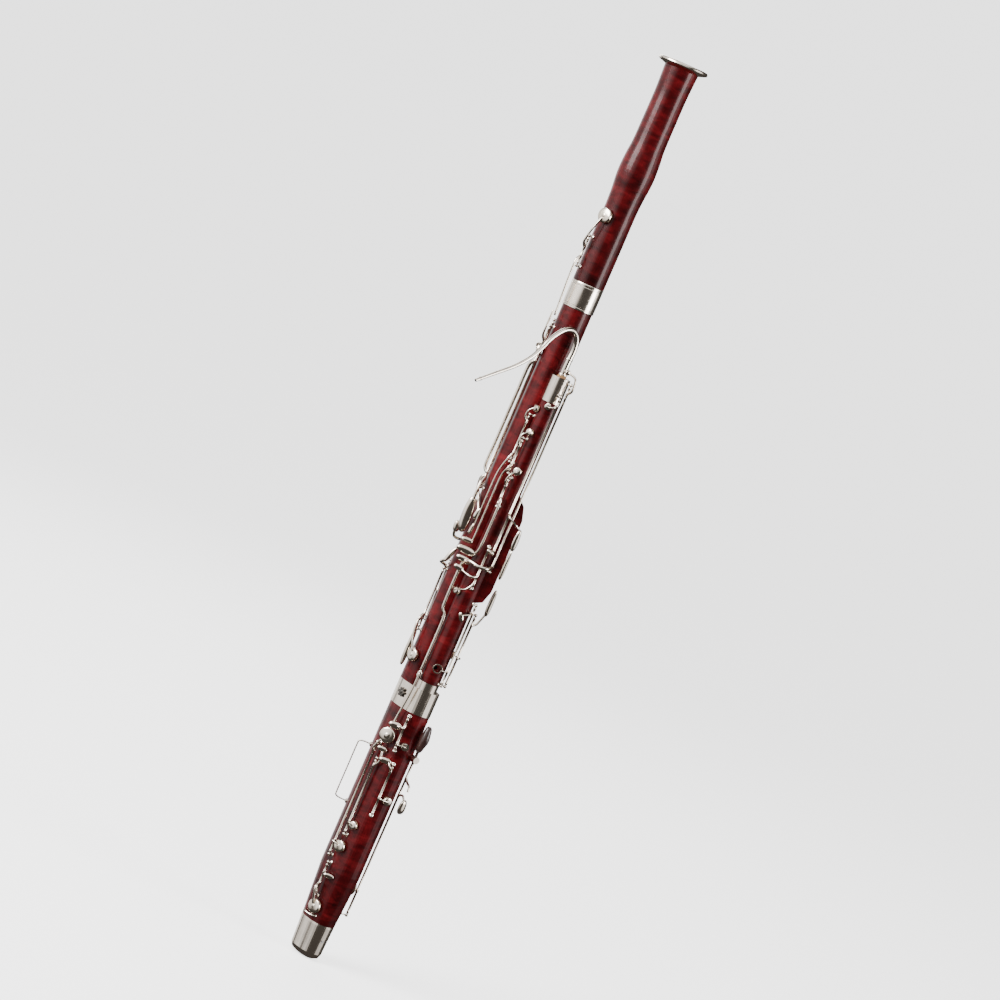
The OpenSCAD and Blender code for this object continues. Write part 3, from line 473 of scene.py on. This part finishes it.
def pad_material():
    """Tan kid leather with fine pores."""
    mat, tree, shader, where = new_material("pad_leather")
    pores = noise(tree, where, (900, 900, 900), 4.0, 0.6)
    tone = noise(tree, where, (120, 120, 120), 2.0, 0.5)
    base = ramp(tree, tone, [(0.3, (0.50, 0.36, 0.21)), (0.7, (0.68, 0.54, 0.37))])
    dark = ramp(tree, pores, [(0.35, (0.5, 0.45, 0.4)), (0.6, (1.0, 1.0, 1.0))])
    tree.links.new(mix(tree, "MULTIPLY", 0.3, base, dark), shader.inputs["Base Color"])
    tree.links.new(ramp(tree, pores, [(0.3, (0.75,)), (0.7, (0.55,))]), shader.inputs["Roughness"])
    bump(tree, shader, pores, 0.35, 0.0001)
    return mat


def dark_material(name, low, high, rough):
    """Smooth dark rubber or varnish, lighter and duller in places."""
    mat, tree, shader, where = new_material(name)
    tone = noise(tree, where, (160, 160, 60), 4.0, 0.6, 0.3)
    tree.links.new(ramp(tree, tone, [(0.3, low), (0.7, high)]), shader.inputs["Base Color"])
    duller = rough + 0.14
    tree.links.new(ramp(tree, tone, [(0.3, (rough,)), (0.7, (duller,))]), shader.inputs["Roughness"])
    bump(tree, shader, tone, 0.1, 0.0001)
    return mat


WOOD = maple()
NICKEL = plated("nickel_bands", (0.84, 0.76, 0.665), (0.67, 0.59, 0.505), 0.14, 0.24, 0.5)
KEYS = plated("nickel_keys", (0.89, 0.80, 0.69), (0.66, 0.57, 0.47), 0.10, 0.18)
STEEL = plated("steel_rods", (0.48, 0.46, 0.44), (0.33, 0.31, 0.30), 0.22, 0.34)
DARK_METAL = plated("dark_lock_metal", (0.16, 0.145, 0.13), (0.08, 0.072, 0.066), 0.22, 0.34)
CORK = cork_material()
PAD = pad_material()
LINER = dark_material("hard_rubber", (0.006, 0.006, 0.007), (0.018, 0.017, 0.017), 0.25)
CRUTCH = dark_material("varnished_crutch", (0.022, 0.011, 0.010), (0.060, 0.026, 0.022), 0.22)

# The CAD's own objects keep their shapes, and take a material by their slot.
PAINT = {"maple": WOOD, "nickel": NICKEL, "key_plate": KEYS, "steel": STEEL, "cork": CORK, "pad_leather": PAD,
         "liner": LINER, "dark_plastic": CRUTCH}
SLOT_OF = {s["node"]: s["material_slot"] for s in frame["record"]["subparts"]}
for name, obj in NODES.items():
    obj.data.materials.clear()
    obj.data.materials.append(DARK_METAL if name == "lock_knob" else PAINT[SLOT_OF[name]])
    smooth(obj.data, 32)

# ---------------------------------------------------------------- hinge lines
# Each key's hinge line, by its body: the line, the low and high end of its tube, and the axis that its
# posts point to. None stands for the boot's spine.
HINGES = {
    "low_bb_bell": (around(BASS, -13, BELL_OUT, 0), 1034, 1072, BASS),
    "low_bb_lever": (around(BASS, -18, BASS_OUT, 0), 702, 938, BASS),
    "low_b": (around(BASS, -70, BASS_OUT, 0), 702, 946, BASS),
    "low_c": (around(BASS, -104, BASS_OUT, 0), 606, 690, BASS),
    "low_d": (around(BASS, -30, BASS_OUT, 0), 486, 572, BASS),
    "low_eb": (around(BASS, -72, BASS_OUT, 0), 500, 584, BASS),
    "whisper": (across(25.8, wing_front(25.8, WING_OUT), 0), 602, 876, WING),
    "trill": (across(19, wing_front(19, WING_OUT), 0), 628, 856, WING),
    "high_d": (around(WING, -30, WING_OUT, 0), 752, 817, WING),
    "high_c": (around(WING, 0, WING_OUT, 0), 738, 784, WING),
    "high_a": (around(WING, 16, WING_OUT, 0), 690, 727, WING),
    "c_sharp": (across(12, wing_front(12, WING_OUT), 0), 572, 628, WING),
    "ring": (across(27, wing_front(27, WING_OUT), 0), 430, 546, WING),
    "eb_finger": (across(32, 18, 0), 430, 532, WING),
    "e": (boot_out(-2, BOOT_OUT, 0), 150, 316, None),
    "f_sharp": (boot_out(15, BOOT_OUT, 0), 186, 296, None),
    "bb_thumb": (boot_out(47, BOOT_OUT, 0), 322, 368, None),
    "ab_thumb": (boot_out(59, BOOT_OUT, 0), 226, 298, None),
    "low_f": (boot_out(5, 4.5, 0), 90, 134, None),
    "ab_finger": (Vector((20, 27, 0)), 76, 338, None),
    "g": (Vector((-6, 29, 0)), 190, 330, None),
}


def on(body, z):
    """The point at height z on a key's hinge line."""
    p = HINGES[body][0]
    return Vector((p[0], p[1], z))


# Posts: the node, the wood they stand in, the body, and the keys whose rods they carry. They stand a little
# past the ends of the tubes.
POSTS = (
    ("bell_posts", in_bell, "bell", ["low_bb_bell"]),
    ("bass_posts", in_bass, "instrument", ["low_bb_lever", "low_b", "low_c", "low_d", "low_eb"]),
    ("wing_posts", in_wing, "instrument",
     ["whisper", "trill", "high_d", "high_c", "high_a", "c_sharp", "ring", "eb_finger"]),
    ("boot_posts", in_boot, "instrument",
     ["e", "f_sharp", "bb_thumb", "ab_thumb", "low_f", "ab_finger", "g"]),
)
PAST_TUBE = 3
for name, surface, body, carried in POSTS:
    b = Build()
    for hinged in carried:
        line, low, high, axis = HINGES[hinged]
        for z in (low - PAST_TUBE, high + PAST_TUBE):
            b.post(line, z, axis or spine(line), surface)
    b.make(name + "_turned", NICKEL, body, [name])

# ---------------------------------------------------------------- keys
# An arm is its points and its radius. A first point that is only a height lies on the hinge line, where the
# tube has a collar. A cup is a place, a turn and a radius. A touch is a place, a turn, a length and a width,
# and then, where it needs them, its tilt and its thickness.
CAD_PAD = "cad"
CAD_PAD_LOW = -2.0


def key(name, body, arms, cups=(), touches=(), pad=None, more=None):
    """One key: hinge tube, cast arms, cups and touches as one metal piece, and the pad under its last cup.

    pad is None, CAD_PAD where the CAD has a pad of its own to replace, or the (radius, low) of a loose one.
    """
    b = Build()
    collars = []
    for points, r in arms:
        if isinstance(points[0], (int, float)):
            collars.append(points[0])
            b.arm([on(body, points[0])] + list(points[1:]), r)
        else:
            b.arm(list(points), r)
    b.hinge_tube(HINGES[body], collars)
    for cup in cups:
        b.cup(*cup)
    for touch in touches:
        b.touch(*touch)
    if more:
        more(b)
    b.make(name + "_cast", KEYS, body, [name])
    if pad:
        place, turn, r = cups[-1]
        q = Build()
        if pad == CAD_PAD:
            node = name.replace("_key", "_pad")
            q.pad(place, turn, r, CAD_PAD_LOW)
            q.make(node + "_felt", PAD, body, [node])
        else:
            q.pad(place, turn, *pad)
            q.make(name + "_pad", PAD, body)


key("low_bb_bell_key", "low_bb_bell",
    [((1058, around(BASS, -8, 34, 1066), around(BASS, 0, 33.5, 1084), around(BASS, 11, 30.7, 1104)), 1.6),
     ((1046, around(BASS, -8.5, 34, 1037), around(BASS, -8.5, 33.5, 1010), around(BASS, -9, 30, 958)), 1.5)],
    [(around(BASS, 12, 26.5, 1109), 12, 11)],
    pad=CAD_PAD)

key("low_bb_lever", "low_bb_lever",
    [((918, around(BASS, -13, 33, 926), around(BASS, -9.5, 34.8, 938), around(BASS, -9, 34.8, 962)), 1.5),
     ((714, across(-35, 8, 706), across(-35, 11.5, 694), across(-35, 12, 682)), 2.3),
     ((889, around(BASS, -27, 31.6, 879), around(BASS, -27, 31.8, 840), around(BASS, -27.2, 31.8, 770),
       around(BASS, -27.4, 31.8, 730), on("low_bb_lever", 721)), 2.35)],
    touches=[(across(-34.5, 11, 658.5), THUMB_TURN, 53, 15, 3, 2.4)])

key("low_b_key", "low_b",
    [((912, around(BASS, -67, 32, 912), around(BASS, -55, 33, 910), around(BASS, -45, 30.6, 906)), 1.6),
     ((716, around(BASS, -62, 32, 709), around(BASS, -40, 28.5, 697), across(-31.9, 0.2, 690),
       across(-24.8, 12.2, 675), across(-22.5, 16, 669)), 1.85)],
    [(around(BASS, -44, 26.5, 905), -44, 9.8)],
    [(across(-21.5, 15.5, 665), THUMB_TURN, 18, 9, -8, 1.5)],
    pad=CAD_PAD)

key("low_c_key", "low_c",
    [((666, around(BASS, -98, 32.4, 667.2), around(BASS, -85, 32.8, 668.6),
       around(BASS, -74, 30.6, 667.8)), 1.6),
     ((621, around(BASS, -97, 32.2, 618.4), around(BASS, -77, 33.2, 617.4), around(BASS, -56, 33.4, 620.2),
       around(BASS, -39, 33.8, 626), across(-41.2, 0.5, 631)), 2.0)],
    [(around(BASS, -72, 26.5, 668), -72, 11)],
    [(across(-41.5, 0, 636), THUMB_TURN, 17, 9, 10)],
    pad=CAD_PAD)

key("low_d_key", "low_d",
    [((500, around(BASS, -20, 33, 494), around(BASS, -10, 33.5, 474), around(BASS, 5, 30.7, 455)), 1.6),
     ((506, across(-38, 1.5, 498), across(-36.5, 2, 480)), 1.7)],
    [(around(BASS, 6, 26.5, 449), 6, 9.6)],
    [(across(-36.2, 1, 456.5), THUMB_TURN, 57, 7.5)],
    pad=CAD_PAD)

key("low_eb_key", "low_eb",
    [((540, around(BASS, -77, 32, 540), around(BASS, -90, 32, 540), around(BASS, -103, 29, 540)), 1.6),
     ((576, around(BASS, -66, 32, 578), around(BASS, -52, 34, 580), around(BASS, -38, 34.5, 582),
       across(-39.5, 5, 586), across(-36.2, 9, 590)), 2.0)],
    [(around(BASS, -104, 24.9, 540), -104, 9)],
    [(across(-33.5, 9, 598), THUMB_TURN, 27, 7, -20)],
    pad=CAD_PAD)

key("whisper_key", "whisper",
    [((866, across(30, 35.5, 872), across(28, 36, 889), across(17.5, 32, 893)), 1.5),
     ((606, across(20, 42, 603), across(8, 45, 602), across(-6, 38, 603), across(-14, 29, 592),
       across(-14, 26.4, 530), across(-7.5, 28, 516), across(-7, 28.7, 438)), 2.3)],
    [(around(WING, 80, 10.2, 893), 80, 4)],
    [(across(-14, 31, 601.5), THUMB_TURN, 23, 10, 83), (across(-7, 28.7, 431), THUMB_TURN, 13, 7)])

key("high_d_key", "high_d",
    [((808, around(WING, -30, 24.2, 814), around(WING, -26, 24.2, 824), around(WING, -18, 19.4, 830)), 1.2),
     ((762, across(-14, 24.5, 752), across(-19.5, 21, 724), across(-19.5, 20.7, 650)), 1.2)],
    [(around(WING, -18, 15.4, 831), -18, 5.3)],
    [(across(-21, 20, 643.5), THUMB_TURN, 17, 6, -6)],
    pad=(5.6, -2.0))

key("high_c_key", "high_c",
    [((775, around(WING, 0, 24.2, 781), around(WING, 2, 24.2, 791), around(WING, 12, 19.6, 797)), 1.2),
     ((748, across(-9, 34, 740), across(-13, 28, 720), across(-13, 25, 630)), 1.4)],
    [(around(WING, 12, 15.6, 798), 12, 5.3)],
    [(across(-20.5, 24.5, 627), THUMB_TURN, 18, 8, 92)],
    pad=(5.6, -2.2))

key("high_a_key", "high_a",
    [((718, around(WING, 16, 24.2, 724), around(WING, 22, 24.2, 734), around(WING, 34, 19.8, 741)), 1.2),
     ((700, across(0.5, 41, 692), across(0, 38, 625), across(-5, 33.5, 615)), 1.6)],
    [(around(WING, 36, 15.9, 742), 36, 6.2)],
    [(across(-16, 32, 614.5), THUMB_TURN, 29, 11, 86, 2.6)],
    pad=(6.5, -2.2))

key("c_sharp_key", "c_sharp",
    [((588, across(6, 43, 585), across(-4, 39.5, 586), across(-11, 36, 588)), 1.6),
     ((577, across(5, 40.5, 566), around(WING, -5, 21.8, 559)), 1.3)],
    [(around(WING, -5, 18.2, 558), -5, 5.4)],
    [(across(-16, 35, 589), THUMB_TURN, 15, 8, 80)],
    pad=(5.7, -2.6))


def ring_plate(b):
    """The open ring that the finger closes."""
    place = facing(across(12.9, 36.4, 448.5), THUMB_TURN)
    b.lathe([(5.0, 0.3), (5.4, 0.0), (6.5, 0.0), (6.95, 0.4), (7.0, 1.2), (6.7, 1.8), (5.9, 2.0), (5.2, 1.8),
             (5.0, 1.2)], place, 40, closed=True)


key("ring_key", "ring",
    [((448.5, across(24.5, 37.6, 448.5), across(18.9, 37.4, 448.5)), 1.0),
     ((536, across(24.2, 36.4, 534.6), across(16.4, 38.7, 530.8)), 1.4)],
    touches=[(across(14, 37.9, 528), THUMB_TURN, 14, 7, 30)], more=ring_plate)

key("trill_key", "trill",
    [((846, across(16, 40, 842), across(10.5, 39.3, 840)), 1.3),
     ((684, across(22, 42.5, 680), across(33, 41.5, 674), across(41, 35, 668)), 1.5)],
    [(around(WING, 46, 15.4, 840), 46, 5)],
    [(across(41.2, 34, 654), 82, 32, 9), (across(41.2, 34, 617), 82, 44, 6)],
    pad=(5.3, -1.8))

key("eb_finger_key", "eb_finger",
    [((520, across(38, 15, 524), across(44, 14, 542)), 1.5),
     ((470, around(WING, 152, 26.5, 470), around(WING, 168, 24.5, 470), around(WING, 178, 21.8, 470)), 1.4)],
    [(around(WING, 180, 18, 470), 180, 6)],
    [(across(44, 13.5, 558), 84, 40, 8)],
    pad=(6.3, -2.2))

key("e_key", "e",
    [((302, boot_out(4, 12, 312), boot_out(14, 12.2, 326)), 1.7),
     ((across(-14, 30.4, 343), across(-12, 30.6, 365), across(-8, 34.2, 405), across(-7.5, 34.6, 432)), 1.4),
     ((168, boot_out(4, 12, 168), boot_out(13, 9.6, 167)), 1.5)],
    [(boot_out(20, 8.5, 335), 35, 11.5), (boot_out(17, 5, 165), boot_turn(17), 9)],
    pad=CAD_PAD)

key("f_sharp_key", "f_sharp",
    [((288, across(-10, 30, 296), across(-11.5, 29.5, 310)), 1.5),
     ((202, boot_out(22, 10.5, 202), boot_out(28, 9.2, 201)), 1.5)],
    [(boot_out(28, 5, 200), boot_turn(28), 6.5)],
    [(across(-13, 28.4, 314.5), THUMB_TURN, 15, 8, 85)],
    pad=(6.8, -2.2))

key("bb_thumb_key", "bb_thumb",
    [((354, across(-2, 39.5, 354), across(-8, 36.4, 353)), 1.5),
     ((330, boot_out(52, 10.5, 330), boot_out(66, 7.6, 330)), 1.4)],
    [(boot_out(68, 3.2, 330), boot_turn(68), 6)],
    [(across(-9.5, 35.5, 353), THUMB_TURN, 19, 10, 90)],
    pad=(6.3, -1.6))

key("ab_thumb_key", "ab_thumb",
    [((290, across(7, 42, 297), across(3, 39, 302)), 1.5),
     ((251, boot_out(66, 10.5, 250.6), boot_out(81, 7.4, 250)), 1.4)],
    [(boot_out(84, 3.2, 250), boot_turn(84), 6.8)],
    [(across(-3, 37.5, 302.5), THUMB_TURN, 18, 9, 90)],
    pad=(7.1, -1.8))

key("low_f_key", "low_f",
    [((104, boot_out(9, 11.2, 98), boot_out(14, 7.2, 77)), 1.7), ((122, across(-15, 28.5, 121)), 1.5)],
    [(boot_out(16, 2.6, 73), boot_turn(16), 10.5)],
    [(across(-11, 28.7, 120.5), THUMB_TURN, 15, 7, 90, 1.4)],
    pad=CAD_PAD)

key("ab_finger_key", "ab_finger",
    [((110, Vector((15, 32, 110)), Vector((7, 29.6, 110))), 1.6),
     ((258, across(39, 0, 260), across(43.5, 5, 254)), 1.6),
     ((284, across(37, 1, 280), across(42, 6, 276), across(43, 8, 270)), 1.6)],
    [(Vector((5, 24.8, 110)), 180, 12)],
    [(across(44, 6, 246), 95, 22, 13, 0, 2.4)],
    pad=(12, -1.8))

key("g_key", "g",
    [((226, Vector((-8, 33.5, 225.6)), Vector((-15, 33.6, 225.3)), Vector((-18.5, 30.8, 225))), 1.6),
     ((314, Vector((-9, 34, 313)), Vector((-14, 34.5, 311))), 1.6)],
    [(Vector((-19.5, 26.8, 225)), 187, 9)],
    [(Vector((-15, 33.4, 306)), 185, 26, 12)],
    pad=(9.3, -2.4))

# ---------------------------------------------------------------- guards, bocal, crutch, ferrule
def wire_guard():
    """Bent wire guard at the left of the boot, with a flange on the wood at each foot."""
    n, out, low, high, wire = -11.4, -48, 220, 307, 1.0
    path = spline([across(-25, n, high), across(-40, n, high), across(-46.5, n, 305.2), across(out, n, 300),
                   across(out, n, 263), across(out, n, 227), across(-46.5, n, 221.6), across(-40, n, low),
                   across(-25, n, low)], 8, 0.45)
    b = Build()
    b.sweep(path, [wire] * len(path), 16)
    for z in (low, high):
        outwards = along(across(-30.6, n, z), across(-36, n, z))
        b.lathe([(3.6, -1.5), (3.6, 0.3), (3.0, 0.9), (1.9, 1.3), (1.3, 2.0)], outwards, 28)
    b.make("wire_guard_bent", NICKEL, "instrument", ["wire_guard"])


def pad_guard():
    """Saddle guard below the low F cup: a curved bar on two feet."""
    z, bar, flat = 60, 1.5, 0.8
    left, right = across(-23, 15, z), across(-6, 23, z)
    path = spline([left, across(-20.2, 17.6, 59.6), across(-15, 20.8, 59.2), across(-10.5, 22.4, 59.4),
                   right], 6, 0.45)
    b = Build()
    b.sweep(path, [bar] * len(path), 16, flat)
    for foot, head in ((across(-22, 6, z), left), (across(-5, 16, z), right)):
        tall = (head - foot).length
        b.lathe([(1.2, 0.0), (1.2, tall * 0.75), (1.9, tall * 0.9), (1.9, tall + 1.2), (1.4, tall + 1.7)],
                along(foot, head), 24)
    b.make("pad_guard_bridge", NICKEL, "instrument", ["pad_guard"])


def bocal():
    """Drawn bocal: a bent tapering tube, with a sleeve at its tip and two rings above the receiver."""
    foot_r, tip_r, turn = 4.75, 2.2, math.radians(-85)
    bend = [(0, 852), (0, 873), (0, 905), (-1, 925), (3, 940), (15, 948.5), (31, 945), (47, 929.5),
            (57.5, 911), (69, 895), (90, 877), (120, 858), (140, 845.5)]
    path = [Vector((WING[0] + r * math.cos(turn), WING[1] + r * math.sin(turn), z))
            for r, z in spline([Vector(p) for p in bend], 10)]
    n = len(path) - 1
    tip, last = path[n], (path[n] - path[n - 1]).normalized()
    b = Build()
    b.sweep(path, [foot_r + (tip_r - foot_r) * i / n for i in range(n + 1)], 24, round_ends=False)
    b.lathe([(1.5, -1.0), (2.2, -1.0), (2.7, -0.7), (2.7, 1.1), (2.2, 1.4), (2.2, 8.8), (1.95, 9.0),
             (1.6, 8.9), (1.6, 2.0)], along(tip, tip + last), 28, closed=True)
    for z, r in ((886, 6.2), (908.5, 5.3)):
        b.lathe([(r - 1.4, z), (r - 0.2, z + 0.2), (r, z + 0.8), (r, z + 1.6), (r - 0.2, z + 2.2),
                 (r - 1.4, z + 2.4)], Matrix.Translation((WING[0], WING[1], 0)), 40)
    b.make("bocal_tube_drawn", NICKEL, "bocal", ["bocal_tube"])


def hand_rest():
    """Varnished crutch on its stem. Each section is a height, an offset and the two half widths."""
    x, y = 42, 9
    sections = ((329, 0, 0, 2.6, 2.6), (331, 0, 0, 4.2, 4.0), (334, 0.1, 0.1, 5.2, 4.8),
                (339, 0.6, 0.4, 6.0, 5.6), (345, 1.3, 0.9, 6.7, 6.6), (350, 1.4, 1.1, 6.8, 6.7),
                (356, 0.9, 1.4, 6.0, 6.0), (361, 0.3, 1.8, 5.2, 5.2), (365.5, 0.0, 2.0, 4.2, 4.2),
                (368, 0.0, 2.0, 2.4, 2.4))
    b = Build()
    b.loft([[Vector((x + dx + w * c, y + dy + d * s, z)) for c, s in circle(36)]
            for z, dx, dy, w, d in sections])
    b.lathe([(1.7, 311), (2.0, 311.4), (2.0, 330)], Matrix.Translation((x, y, 0)), 24)
    b.make("hand_rest_crutch", CRUTCH, "hand_rest", ["hand_rest"], 60)


def bell_ferrule():
    """Bell ferrule with a bead and a groove near each edge."""
    low, high, inside = 976.05, 1012.95, 20.86
    edge, bead, groove, band = 22.75, 23.0, 22.7, 22.95
    b = Build()
    b.lathe([(inside, low), (edge, low), (bead, 976.4), (bead, 978.2), (groove, 978.6), (groove, 980.4),
             (band, 980.8), (band, 1008.2), (groove, 1008.6), (groove, 1010.4), (bead, 1010.8),
             (bead, 1012.5), (edge, high), (inside, high)],
            Matrix.Translation((BASS[0], BASS[1], 0)), 96, closed=True)
    b.make("bell_ferrule_beaded", NICKEL, "bell", ["bell_ferrule"], 30)


wire_guard()
pad_guard()
bocal()
hand_rest()
bell_ferrule()

# ---------------------------------------------------------------- floor, light, camera, in metres
VIEWER = Vector((math.sin(THUMB), -math.cos(THUMB), 0))
RIGHT = Vector((math.cos(THUMB), math.sin(THUMB), 0))
UP = Vector((0, 0, 1))
CENTRE = (CAD_BOX[0] + CAD_BOX[1]) / 2


def studio_floor():
    """Wide pale floor that only the camera sees, bright enough to hide the horizon."""
    half, z, glow = 60, -0.001, 2.2
    mat, tree, shader, where = new_material("studio_floor")
    mottle = noise(tree, where, (0.7, 0.7, 0.7), 3.0)
    pale = ramp(tree, mottle, [(0.3, (0.93, 0.93, 0.93)), (0.7, (0.96, 0.96, 0.96))])
    tree.links.new(pale, shader.inputs["Base Color"])
    shader.inputs["Roughness"].default_value = 0.9
    shader.inputs["Emission Color"].default_value = (1, 1, 1, 1)
    shader.inputs["Emission Strength"].default_value = glow
    mesh = bpy.data.meshes.new("floor")
    corners = [(-half, -half, z), (half, -half, z), (half, half, z), (-half, half, z)]
    mesh.from_pydata(corners, [], [(0, 1, 2, 3)])
    mesh.materials.append(mat)
    floor = bpy.data.objects.new("floor", mesh)
    bpy.context.scene.collection.objects.link(floor)
    floor.visible_glossy = False
    floor.visible_diffuse = False


def studio_world():
    """A bright backdrop for the camera, a dim one to light by, and a dark room with soft boxes to reflect."""
    backdrop_strength, dim_strength, room_strength = 2.6, 0.42, 1.75
    soft_boxes = ((VIEWER * 0.70 - RIGHT * 0.9 + UP * 0.3, 0.24, 1.0),
                  (VIEWER * 0.15 + RIGHT * 1.0 + UP * 0.1, 0.12, 1.0),
                  (UP + VIEWER * 0.7, 0.26, 1.0),
                  (-VIEWER * 0.8 - RIGHT * 0.5, 0.10, 1.0),
                  (-RIGHT - VIEWER * 0.17, 0.11, 0.8))
    world = bpy.data.worlds.new("studio")
    bpy.context.scene.world = world
    world.use_nodes = True
    tree = world.node_tree
    tree.nodes.clear()
    out = tree.nodes.new("ShaderNodeOutputWorld")
    direction = tree.nodes.new("ShaderNodeTexCoord").outputs["Generated"]

    def soft_box(towards, width):
        dot = tree.nodes.new("ShaderNodeVectorMath")
        dot.operation = "DOT_PRODUCT"
        dot.inputs[1].default_value = towards.normalized()
        tree.links.new(direction, dot.inputs[0])
        stops = [(1 - width, (0.0, 0.0, 0.0)), (1 - width * 0.35, (1.0, 1.0, 1.0))]
        return ramp(tree, dot.outputs["Value"], stops)

    def choose(ray_kind, otherwise, chosen):
        node = tree.nodes.new("ShaderNodeMixShader")
        tree.links.new(ray.outputs[ray_kind], node.inputs[0])
        tree.links.new(otherwise.outputs[0], node.inputs[1])
        tree.links.new(chosen.outputs[0], node.inputs[2])
        return node

    lit = None
    for towards, width, amount in soft_boxes:
        box = soft_box(towards, width)
        lit = box if lit is None else mix(tree, "ADD", amount, lit, box)
    room = tree.nodes.new("ShaderNodeBackground")
    room.inputs["Strength"].default_value = room_strength
    tree.links.new(mix(tree, "ADD", 1.0, (0.040, 0.036, 0.033), lit), room.inputs["Color"])
    backdrop = tree.nodes.new("ShaderNodeBackground")
    backdrop.inputs["Color"].default_value = (1.0, 1.0, 1.0, 1)
    backdrop.inputs["Strength"].default_value = backdrop_strength
    dim = tree.nodes.new("ShaderNodeBackground")
    dim.inputs["Color"].default_value = (1.0, 0.98, 0.96, 1)
    dim.inputs["Strength"].default_value = dim_strength
    ray = tree.nodes.new("ShaderNodeLightPath")
    seen = choose("Is Camera Ray", dim, backdrop)
    tree.links.new(choose("Is Glossy Ray", seen, room).outputs[0], out.inputs[0])


def soft_light(name, offset, size, power):
    """Square area light at an offset from the object's middle, aimed back at it."""
    data = bpy.data.lights.new(name, "AREA")
    data.size = size
    data.energy = power
    light = bpy.data.objects.new(name, data)
    light.location = CENTRE + offset
    light.rotation_mode = "QUATERNION"
    light.rotation_quaternion = (-offset).to_track_quat("-Z", "Y")
    bpy.context.scene.collection.objects.link(light)


def photo_camera():
    """Looks at the thumb side from a little above, and leans so that the instrument leans to the right."""
    distance, elevation, lean = 5.0, math.radians(6), math.radians(23.5)
    shift = Vector((0.0483, 0.0085, 0.0))
    data = bpy.data.cameras.new("camera")
    data.lens = 131.7
    data.sensor_width = 36
    data.clip_end = 100
    eye = VIEWER * math.cos(elevation) + UP * math.sin(elevation)
    turned = (-eye).to_track_quat("-Z", "Y") @ Matrix.Rotation(lean, 3, "Z").to_quaternion()
    camera = bpy.data.objects.new("camera", data)
    camera.rotation_mode = "QUATERNION"
    camera.rotation_quaternion = turned
    camera.location = CENTRE + turned @ shift + eye * distance
    bpy.context.scene.collection.objects.link(camera)
    bpy.context.scene.camera = camera


studio_floor()
studio_world()
soft_light("key_light", VIEWER * 1.2 - RIGHT * 2.1 + UP * 1.3, 1.6, 150)
soft_light("fill_light", VIEWER * 0.9 + RIGHT * 2.7 + UP * 0.5, 1.4, 70)
soft_light("rear_light", -VIEWER * 2.4 - RIGHT * 0.6 + UP * 1.6, 1.8, 46)
photo_camera()
